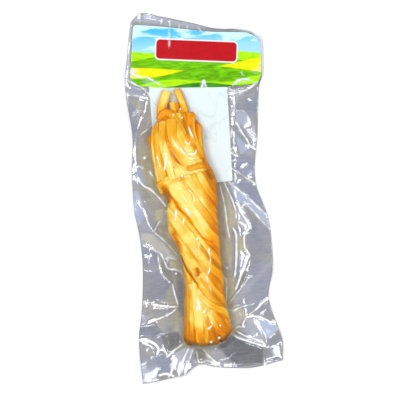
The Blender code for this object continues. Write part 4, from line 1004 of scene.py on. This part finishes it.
class CHEESE_OT_add_hank(Operator):
    """Add the twisted hank: every strand laid over a smaller core"""
    bl_idname = "cheese.add_hank"
    bl_label = "Add Cheese Hank"

    def execute(self, context):
        settings = context.scene.cheese_hank
        rng = random.Random(7)
        bm = strand_bmesh()
        for row in back_strands():
            lay_strand(bm, *row, settings, rng)
        for table in (ROPE_STRANDS, SLEEVE_STRANDS, CUFF_STRANDS):
            for route, *rest in table:
                turns = seen_from_above(route)
                if table is not SLEEVE_STRANDS:
                    turns = carried_round(turns)
                lay_strand(bm, turns, *rest, settings, rng, blunt=table is SLEEVE_STRANDS)
        for route, half_width, half_thickness, tone in STICK_ENDS:
            path = smooth_route(route, settings.step / MM)
            centres = [Vector((x, y, HANK_BED + z)) for x, y, z in path]
            up = [Vector((0, 0, 1))] * len(centres)
            add_strand(bm, centres, up, [half_width] * len(centres), [half_thickness] * len(centres), tone,
                       settings, blunt=True)
        self.open_gap(bm)
        self.press_grooves(bm)
        slant_end(bm)
        bmesh.ops.remove_doubles(bm, verts=bm.verts, dist=0.0005)
        strands = finished(bm, "cheese_strands", [cheese_material(settings)])
        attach(strands, "root")
        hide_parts("cheese")

        core = self.core(settings)
        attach(core, "root")
        return {"FINISHED"}

    def open_gap(self, bm):
        middle_x, middle_y, half_width, half_length, depth = STRAND_GAP
        tone_layer = bm.verts.layers.float["tone"]
        for vert in bm.verts:
            reach = math.hypot((vert.co.x - middle_x) / half_width, (vert.co.y - middle_y) / half_length)
            if reach < 1.25 and vert.co.z > HANK_BED + 12.0:
                share = float(1 - smooth_step(0.70, 1.20, reach))
                vert.co.z -= depth * share
                # Painted shade: more tone at the bottom of the gap.
                vert[tone_layer] += 0.3 * share

    def press_grooves(self, bm):
        tone_layer = bm.verts.layers.float["tone"]
        verts = [vert for vert in bm.verts if vert.co.z > HANK_BED + 4.0]
        xs = np.array([vert.co.x for vert in verts])
        ys = np.array([vert.co.y for vert in verts])
        sink = np.zeros(len(verts))
        darken = np.zeros(len(verts))
        for route, half_width, depth, tone in GROOVES:
            path = [tuple(point) for point in smooth_route(route, 1.5)]
            gap, where = route_distance(path, xs, ys)
            fade = np.minimum(1.0, 6.0 * np.minimum(where, 1 - where) + 0.25)
            share = (1 - smooth_step(0.25 * half_width, 1.25 * half_width, gap)) * fade
            sink = np.maximum(sink, depth * share)
            # Painted shade: tone added at each groove's bottom.
            darken = np.maximum(darken, tone * share)
        for vert, low, dark in zip(verts, sink, darken):
            vert.co.z -= low
            vert[tone_layer] += dark

    def core(self, settings):
        columns, rows = 40, 60
        inset = settings.core_inset / MM
        low, high = HANK_SECTIONS[0][0] + 3.0, HANK_SECTIONS[-1][0] - 3.0
        bm = bmesh.new()
        bmesh.ops.create_grid(bm, x_segments=columns, y_segments=rows, size=0.5)
        for vert in bm.verts:
            angle = 2 * math.pi * (vert.co.x + 0.5)
            row = round((vert.co.y + 0.5) * rows)
            y = low + (high - low) * min(max(row - 1, 0), rows - 2) / (rows - 2)
            point = hank_surface(y, angle, inset)
            if row in (0, rows):
                left, right, height = along(HANK_SECTIONS, y)
                point = Vector(((left + right) / 2, y, HANK_BED + height / 2))
            vert.co = point
        bmesh.ops.remove_doubles(bm, verts=bm.verts, dist=0.001)
        slant_end(bm)
        return finished(bm, "cheese_core", [core_material(settings)])


class CHEESE_OT_add_card(Operator):
    """Finish the header card and the back label"""
    bl_idname = "cheese.add_card"
    bl_label = "Finish Card And Label"

    def execute(self, context):
        looks = {"header_card": card_material(context.scene.cheese_card), "back_label": label_material()}
        for node, look in looks.items():
            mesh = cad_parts[node].data
            mesh.materials.clear()
            mesh.materials.append(look)
        return {"FINISHED"}


def pouch_place(u, v):
    """A point between the four edges of the pouch's outline, seen from above."""
    ends = {}
    for name, share in (("bottom", u), ("top", u), ("left", v), ("right", v)):
        table = POUCH_EDGES[name]
        key = table[0][0] + share * (table[-1][0] - table[0][0])
        value = along(table, key)[0]
        ends[name] = (key, value) if name in ("bottom", "top") else (value, key)
    corners = (POUCH_BOTTOM[0], POUCH_BOTTOM[-1], POUCH_TOP[0], POUCH_TOP[-1])
    shares = ((1 - u) * (1 - v), u * (1 - v), (1 - u) * v, u * v)
    return tuple(
        (1 - v) * ends["bottom"][axis] + v * ends["top"][axis]
        + (1 - u) * ends["left"][axis] + u * ends["right"][axis]
        - sum(share * corner[axis] for share, corner in zip(shares, corners))
        for axis in (0, 1)
    )


def route_distance(route, xs, ys):
    """For every place: distance to the route, and how far along it the nearest point is, from 0 to 1."""
    pieces = list(zip(route[:-1], route[1:]))
    lengths = [math.dist(a, b) for a, b in pieces]
    total = sum(lengths)
    best = np.full(xs.shape, 1e9)
    where = np.zeros(xs.shape)
    start = 0.0
    for (a, b), length in zip(pieces, lengths):
        dx, dy = b[0] - a[0], b[1] - a[1]
        t = np.clip(((xs - a[0]) * dx + (ys - a[1]) * dy) / max(length * length, 1e-9), 0.0, 1.0)
        gap = np.hypot(xs - a[0] - t * dx, ys - a[1] - t * dy)
        closer = gap < best
        best = np.where(closer, gap, best)
        where = np.where(closer, (start + t * length) / total, where)
        start += length
    return best, where


def outline_share(outline, xs, ys, softness):
    """1 inside a closed outline, 0 outside it, softened over a distance."""
    inside = np.zeros(xs.shape, dtype=bool)
    nearest = np.full(xs.shape, 1e9)
    for (ax, ay), (bx, by) in zip(outline, outline[1:] + outline[:1]):
        crosses = (ay > ys) != (by > ys)
        if ay != by:
            inside ^= crosses & (xs < (bx - ax) * (ys - ay) / (by - ay) + ax)
        gap, _ = route_distance([(ax, ay), (bx, by)], xs, ys)
        nearest = np.minimum(nearest, gap)
    return smooth_step(-softness, softness, np.where(inside, nearest, -nearest))


def cone_round(mask, reach, cell):
    """1 on a mask, falling evenly to 0 at a distance from it."""
    result = mask.astype(float)
    for _ in range(int(reach / cell) + 1):
        for axis in (0, 1):
            for shift in (1, -1):
                result = np.maximum(result, np.roll(result, shift, axis=axis) - cell / reach)
    return result


def soften(heights, rounds):
    """A grid of heights, each averaged with its neighbours a number of times."""
    for _ in range(rounds):
        wide = np.pad(heights, 1, mode="edge")
        heights = 0.2 * (wide[1:-1, 1:-1] + wide[:-2, 1:-1] + wide[2:, 1:-1] + wide[1:-1, :-2] + wide[1:-1, 2:])
    return heights


class CHEESE_OT_add_film(Operator):
    """Add the pouch: a front film drawn down over its contents and a flat back film, sealed at the edge"""
    bl_idname = "cheese.add_film"
    bl_label = "Add Pouch Film"

    def execute(self, context):
        settings = context.scene.cheese_film
        columns, rows = settings.columns, settings.rows
        places = np.array([[pouch_place(u / columns, v / rows) for u in range(columns + 1)] for v in range(rows + 1)])
        xs, ys = places[..., 0], places[..., 1]
        contents = self.contents(context, xs, ys)
        free = 1.0 - cone_round(contents > 0.0, 9.0, FILM_CELL)
        skirt = settings.lift / MM * self.waves(xs, ys) * free
        light, warmth = self.facets(xs, ys, contents)
        creases = self.crumple(xs, ys, settings) * (1 - 0.75 * smooth_step(0.0, 0.4, -light))
        creases = creases * (1 - 0.8 * smooth_step(129.0, 137.0, ys))
        back = 0.05 + skirt + creases * free
        front = self.settle(contents, settings)
        slack = 0.35 * smooth_step(0.15, 2.0, front - contents)
        front = front + skirt + creases * np.maximum(free, slack)
        front, fold_glint = self.fold_glint(xs, ys, front)
        front = np.maximum(front, np.where(contents > 0.0, contents, back) + 0.08)
        film = self.shell(xs, ys, front, back, {"fold_glint": fold_glint, "light": light, "warmth": warmth,
                                                "over": cone_round(contents > 0.0, 1.5, FILM_CELL)}, settings)
        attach(film, "root")
        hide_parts("pouch")
        return {"FINISHED"}

    def contents(self, context, xs, ys):
        """Height of whatever lies in the pouch under each place, 0 where there is nothing."""
        depsgraph = context.evaluated_depsgraph_get()
        heights = np.zeros(xs.shape)
        for name in ("cheese_strands", "cheese_core", "header_card", "back_label"):
            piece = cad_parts.get(name) or bpy.data.objects[name]
            tree = BVHTree.FromObject(piece, depsgraph)
            low = [min(corner[axis] for corner in piece.bound_box) / MM for axis in (0, 1)]
            high = [max(corner[axis] for corner in piece.bound_box) / MM for axis in (0, 1)]
            inside = (xs > low[0]) & (xs < high[0]) & (ys > low[1]) & (ys < high[1])
            for row, column in zip(*np.nonzero(inside)):
                start = Vector((xs[row, column] * MM, ys[row, column] * MM, 0.1))
                hit = tree.ray_cast(start, Vector((0, 0, -1)))[0]
                if hit is not None:
                    heights[row, column] = max(heights[row, column], hit.z / MM)
        return heights

    def waves(self, xs, ys):
        """The flat skirt's slow waves, from 0 to 1, strongest towards the pouch's edge."""
        outward = np.minimum(smooth_step(30.0, 58.0, np.abs(xs)) + smooth_step(118.0, 150.0, np.abs(ys)), 1.0)
        rolling = 0.5 + 0.5 * np.sin(xs * 0.09 + ys * 0.071 + 1.2) * np.cos(ys * 0.052 - xs * 0.047)
        return outward * rolling

    def crumple(self, xs, ys, settings):
        """Straight creases that cross each other, as in any crumpled film: flat facets between sharp folds."""
        rng = random.Random(19)
        height = np.zeros(xs.shape)
        for index in range(settings.crease_sets):
            turn = math.pi * (index + rng.uniform(-0.3, 0.3)) / settings.crease_sets
            wavelength = rng.uniform(17.0, 38.0)
            bend = 3.0 * np.sin(xs * rng.uniform(0.02, 0.05) + ys * rng.uniform(0.02, 0.05) + rng.uniform(0, 6))
            along_it = (xs * math.cos(turn) + ys * math.sin(turn) + bend) / wavelength + rng.uniform(0, 1)
            zigzag = 2 * np.abs(along_it - np.floor(along_it + 0.5))
            patch = 0.5 + 0.5 * np.sin(xs * rng.uniform(0.05, 0.11) + rng.uniform(0, 6)) * np.cos(
                ys * rng.uniform(0.04, 0.09) + rng.uniform(0, 6))
            height += settings.crease_slope * wavelength / 2 * zigzag * patch
        return soften(height, 3)

    def settle(self, contents, settings):
        """The front film's height: pulled down by the vacuum, held up by the contents and its own tension."""
        floor = np.where(contents > 0.0, contents + settings.clearance / MM, 0.17)
        sheets = np.where(contents < 3.0, contents, 0.0)
        for axis in (0, 1):
            for shift in (1, -1, 1, -1):
                sheets = np.maximum(sheets, np.roll(sheets, shift, axis=axis))
        floor = np.maximum(floor, soften(sheets, 8) + settings.clearance / MM)
        height = floor.copy()
        for _ in range(34):
            for axis in (0, 1):
                for shift in (1, -1):
                    height = np.maximum(height, np.roll(height, shift, axis=axis) - 1.15 * FILM_CELL)
        pull = settings.pull * MM * FILM_CELL * FILM_CELL / 4
        for _ in range(settings.settling):
            inner = 0.25 * (height[:-2, 1:-1] + height[2:, 1:-1] + height[1:-1, :-2] + height[1:-1, 2:]) - pull
            height[1:-1, 1:-1] = np.maximum(inner, floor[1:-1, 1:-1])
            height[0], height[-1] = floor[0], floor[-1]
            height[:, 0], height[:, -1] = floor[:, 0], floor[:, -1]
        return height

    def fold_glint(self, xs, ys, height):
        """The film with its folds and dimples, and at each place the strength of the painted glint that they carry."""
        fold_glint = np.zeros(height.shape)
        ridges = np.zeros(height.shape)
        for route, width_start, high_start, width_end, high_end in FOLDS:
            path = smooth_route(route, 1.0)
            reach = 4 * max(width_start, width_end)
            box = ((xs > path[:, 0].min() - reach) & (xs < path[:, 0].max() + reach)
                   & (ys > path[:, 1].min() - reach) & (ys < path[:, 1].max() + reach))
            if not box.any():
                continue
            gap, where = route_distance([tuple(point) for point in path], xs[box], ys[box])
            taper = np.clip(np.minimum(where, 1 - where) * len(path) / 3.5 + 0.35, 0.0, 1.0)
            width = (width_start + (width_end - width_start) * where) * taper
            high = high_start + (high_end - high_start) * where
            flicker = 0.5 + 0.5 * np.sin(where * len(path) * 0.55 + route[0][0]) * np.cos(where * len(path) * 0.23 + route[0][1])
            width = width * (0.75 + 0.5 * flicker)
            ridges[box] = np.maximum(ridges[box], 0.40 * high * np.exp(-(gap / (1.2 * width)) ** 2))
            ends = np.clip(np.minimum(where, 1 - where) * len(path) / 3.5 + 0.55, 0.0, 1.0)
            # Painted glint: strongest on high folds, flickering along them.
            strength = np.clip(0.16 + 0.84 * high + 0.6 * (flicker - 0.5), 0.0, 1.0) * ends
            sharp = strength * (1 - smooth_step(0.28 * width, 0.28 * width + 0.72, gap))
            fold_glint[box] = np.maximum(fold_glint[box], sharp)
        for x, y, radius in DIMPLES:
            gap = np.hypot(xs - x, ys - y)
            ridges = np.maximum(ridges, 0.4 * radius * np.exp(-(gap / radius) ** 2))
            # Painted glint on each dimple.
            fold_glint = np.maximum(fold_glint, 1 - smooth_step(0.5 * radius, 0.5 * radius + 0.75, gap))
        down, across = np.gradient(height, FILM_CELL)
        steep = smooth_step(0.7, 2.2, np.hypot(down, across))
        return height + ridges * (1 - 0.5 * steep), fold_glint * (1 - 0.7 * steep)

    def facets(self, xs, ys, contents):
        """The film's painted light and shade, and its warmth, at each place."""
        light = np.zeros(xs.shape)
        # Painted warm glow from the hank on the film round it.
        warmth = np.clip(1.5 * cone_round(contents > 6.0, 14.0, FILM_CELL), 0.0, 1.0)
        for outline, facet_light, facet_warmth in FACETS:
            share = outline_share(outline, xs, ys, 1.0)
            light = light * (1 - share) + facet_light * share
            warmth = warmth * (1 - share) + facet_warmth * share
        return light, warmth

    def shell(self, xs, ys, front, back, looks, settings):
        """One closed skin: the front film, and the back film with every second grid line left out."""
        columns, rows = settings.columns, settings.rows
        bm = bmesh.new()
        layers = {name: bm.verts.layers.float.new(name) for name in looks}
        bmesh.ops.create_grid(bm, x_segments=columns, y_segments=rows, size=0.5)
        upper_faces = list(bm.faces)
        lower = bmesh.ops.extrude_face_region(bm, geom=upper_faces, use_keep_orig=True)["geom"]
        lower_verts = {item for item in lower if isinstance(item, bmesh.types.BMVert)}
        lower_faces = {item for item in lower if isinstance(item, bmesh.types.BMFace)}
        spots = {vert: (round((vert.co.y + 0.5) * rows), round((vert.co.x + 0.5) * columns)) for vert in bm.verts}
        for vert, spot in spots.items():
            heights = back if vert in lower_verts else front
            vert.co = (xs[spot], ys[spot], heights[spot])
            for name, layer in layers.items():
                vert[layer] = looks[name][spot]
        for face in bm.faces:
            face.material_index = 1 if face in lower_faces else 0
        spare = []
        for edge in {edge for face in lower_faces for edge in face.edges}:
            first, second = (spots[vert] for vert in edge.verts)
            across = first[0] == second[0] and first[0] % 2 and first[0] not in (0, rows)
            down = first[1] == second[1] and first[1] % 2 and first[1] not in (0, columns)
            if across or down:
                spare.append(edge)
        bmesh.ops.dissolve_edges(bm, edges=spare, use_verts=True)
        return finished(bm, "pouch_film", [front_film_material(settings), back_film_material(settings)])


class CHEESE_OT_set_stage(Operator):
    """Set up the pale floor, the soft studio lights and the camera over the pack"""
    bl_idname = "cheese.set_stage"
    bl_label = "Set Stage"

    def execute(self, context):
        settings = context.scene.cheese_stage
        self.floor(settings)
        for name, size, power, place in (
            ("key light", (0.34, 0.34), 5.0, (-0.34, 0.28, 1.08)),
            ("side light", (0.16, 0.50), 3.0, (0.40, 0.02, 1.05)),
            ("low light", (0.40, 0.16), 2.4, (-0.08, -0.42, 1.05)),
        ):
            self.light(name, size, power, place)
        self.world()
        self.camera(context, settings)
        return {"FINISHED"}

    def floor(self, settings):
        bm = bmesh.new()
        bmesh.ops.create_grid(bm, x_segments=1, y_segments=1, size=6000.0)
        bmesh.ops.translate(bm, verts=bm.verts, vec=(0.0, 0.0, -0.05))
        made, nodes, links = new_material("pale floor")
        shader = nodes["Principled BSDF"]
        shader.inputs["Roughness"].default_value = 0.8
        shader.inputs["Specular IOR Level"].default_value = 0.2
        coordinates, _, _, _ = object_axes(nodes, links)
        cloud = noise(nodes, links, coordinates, 3.0, 2.0)
        darker = [0.985 * channel for channel in settings.floor_colour]
        links.new(blend_colour(nodes, links, cloud, settings.floor_colour, darker), shader.inputs["Base Color"])
        finished(bm, "floor", [made])

    def light(self, name, size, power, place):
        lamp = bpy.data.lights.new(name, "AREA")
        lamp.shape = "RECTANGLE"
        lamp.size, lamp.size_y = size
        lamp.energy = power
        holder = bpy.data.objects.new(name, lamp)
        holder.location = place
        holder.rotation_euler = Vector(place).to_track_quat("Z", "Y").to_euler()
        bpy.context.scene.collection.objects.link(holder)

    def world(self):
        world = bpy.data.worlds.new("studio")
        world.use_nodes = True
        background = world.node_tree.nodes["Background"]
        background.inputs["Color"].default_value = (0.97, 0.985, 1.0, 1.0)
        background.inputs["Strength"].default_value = 0.48
        bpy.context.scene.world = world

    def camera(self, context, settings):
        lens = bpy.data.cameras.new("camera")
        lens.lens = lens.sensor_width * settings.camera_height / settings.frame_width
        holder = bpy.data.objects.new("camera", lens)
        holder.location = (-2.3 * MM, -3.9 * MM, settings.camera_height)
        holder.rotation_euler = (0.0, 0.0, settings.roll)
        context.scene.collection.objects.link(holder)
        context.scene.camera = holder


class CHEESE_PT_pack(Panel):
    """The pack's pieces and stage"""
    bl_label = "Cheese Pack"
    bl_idname = "CHEESE_PT_pack"
    bl_space_type = "VIEW_3D"
    bl_region_type = "UI"
    bl_category = "Cheese Pack"

    def draw(self, context):
        for operator in OPERATORS:
            self.layout.operator(operator.bl_idname)


SETTINGS = {
    "cheese_hank": HankSettings,
    "cheese_film": FilmSettings,
    "cheese_card": CardSettings,
    "cheese_stage": StageSettings,
}
OPERATORS = (CHEESE_OT_add_hank, CHEESE_OT_add_card, CHEESE_OT_add_film, CHEESE_OT_set_stage)


def register():
    for name, group in SETTINGS.items():
        bpy.utils.register_class(group)
        setattr(bpy.types.Scene, name, PointerProperty(type=group))
    for operator in OPERATORS:
        bpy.utils.register_class(operator)
    bpy.utils.register_class(CHEESE_PT_pack)


def unregister():
    bpy.utils.unregister_class(CHEESE_PT_pack)
    for operator in reversed(OPERATORS):
        bpy.utils.unregister_class(operator)
    for name, group in SETTINGS.items():
        delattr(bpy.types.Scene, name)
        bpy.utils.unregister_class(group)


def main():
    register()
    bpy.context.scene.view_settings.view_transform = "Standard"
    bpy.ops.cheese.add_hank()
    bpy.ops.cheese.add_card()
    bpy.ops.cheese.add_film()
    bpy.ops.cheese.set_stage()


if __name__ == "__main__":
    main()
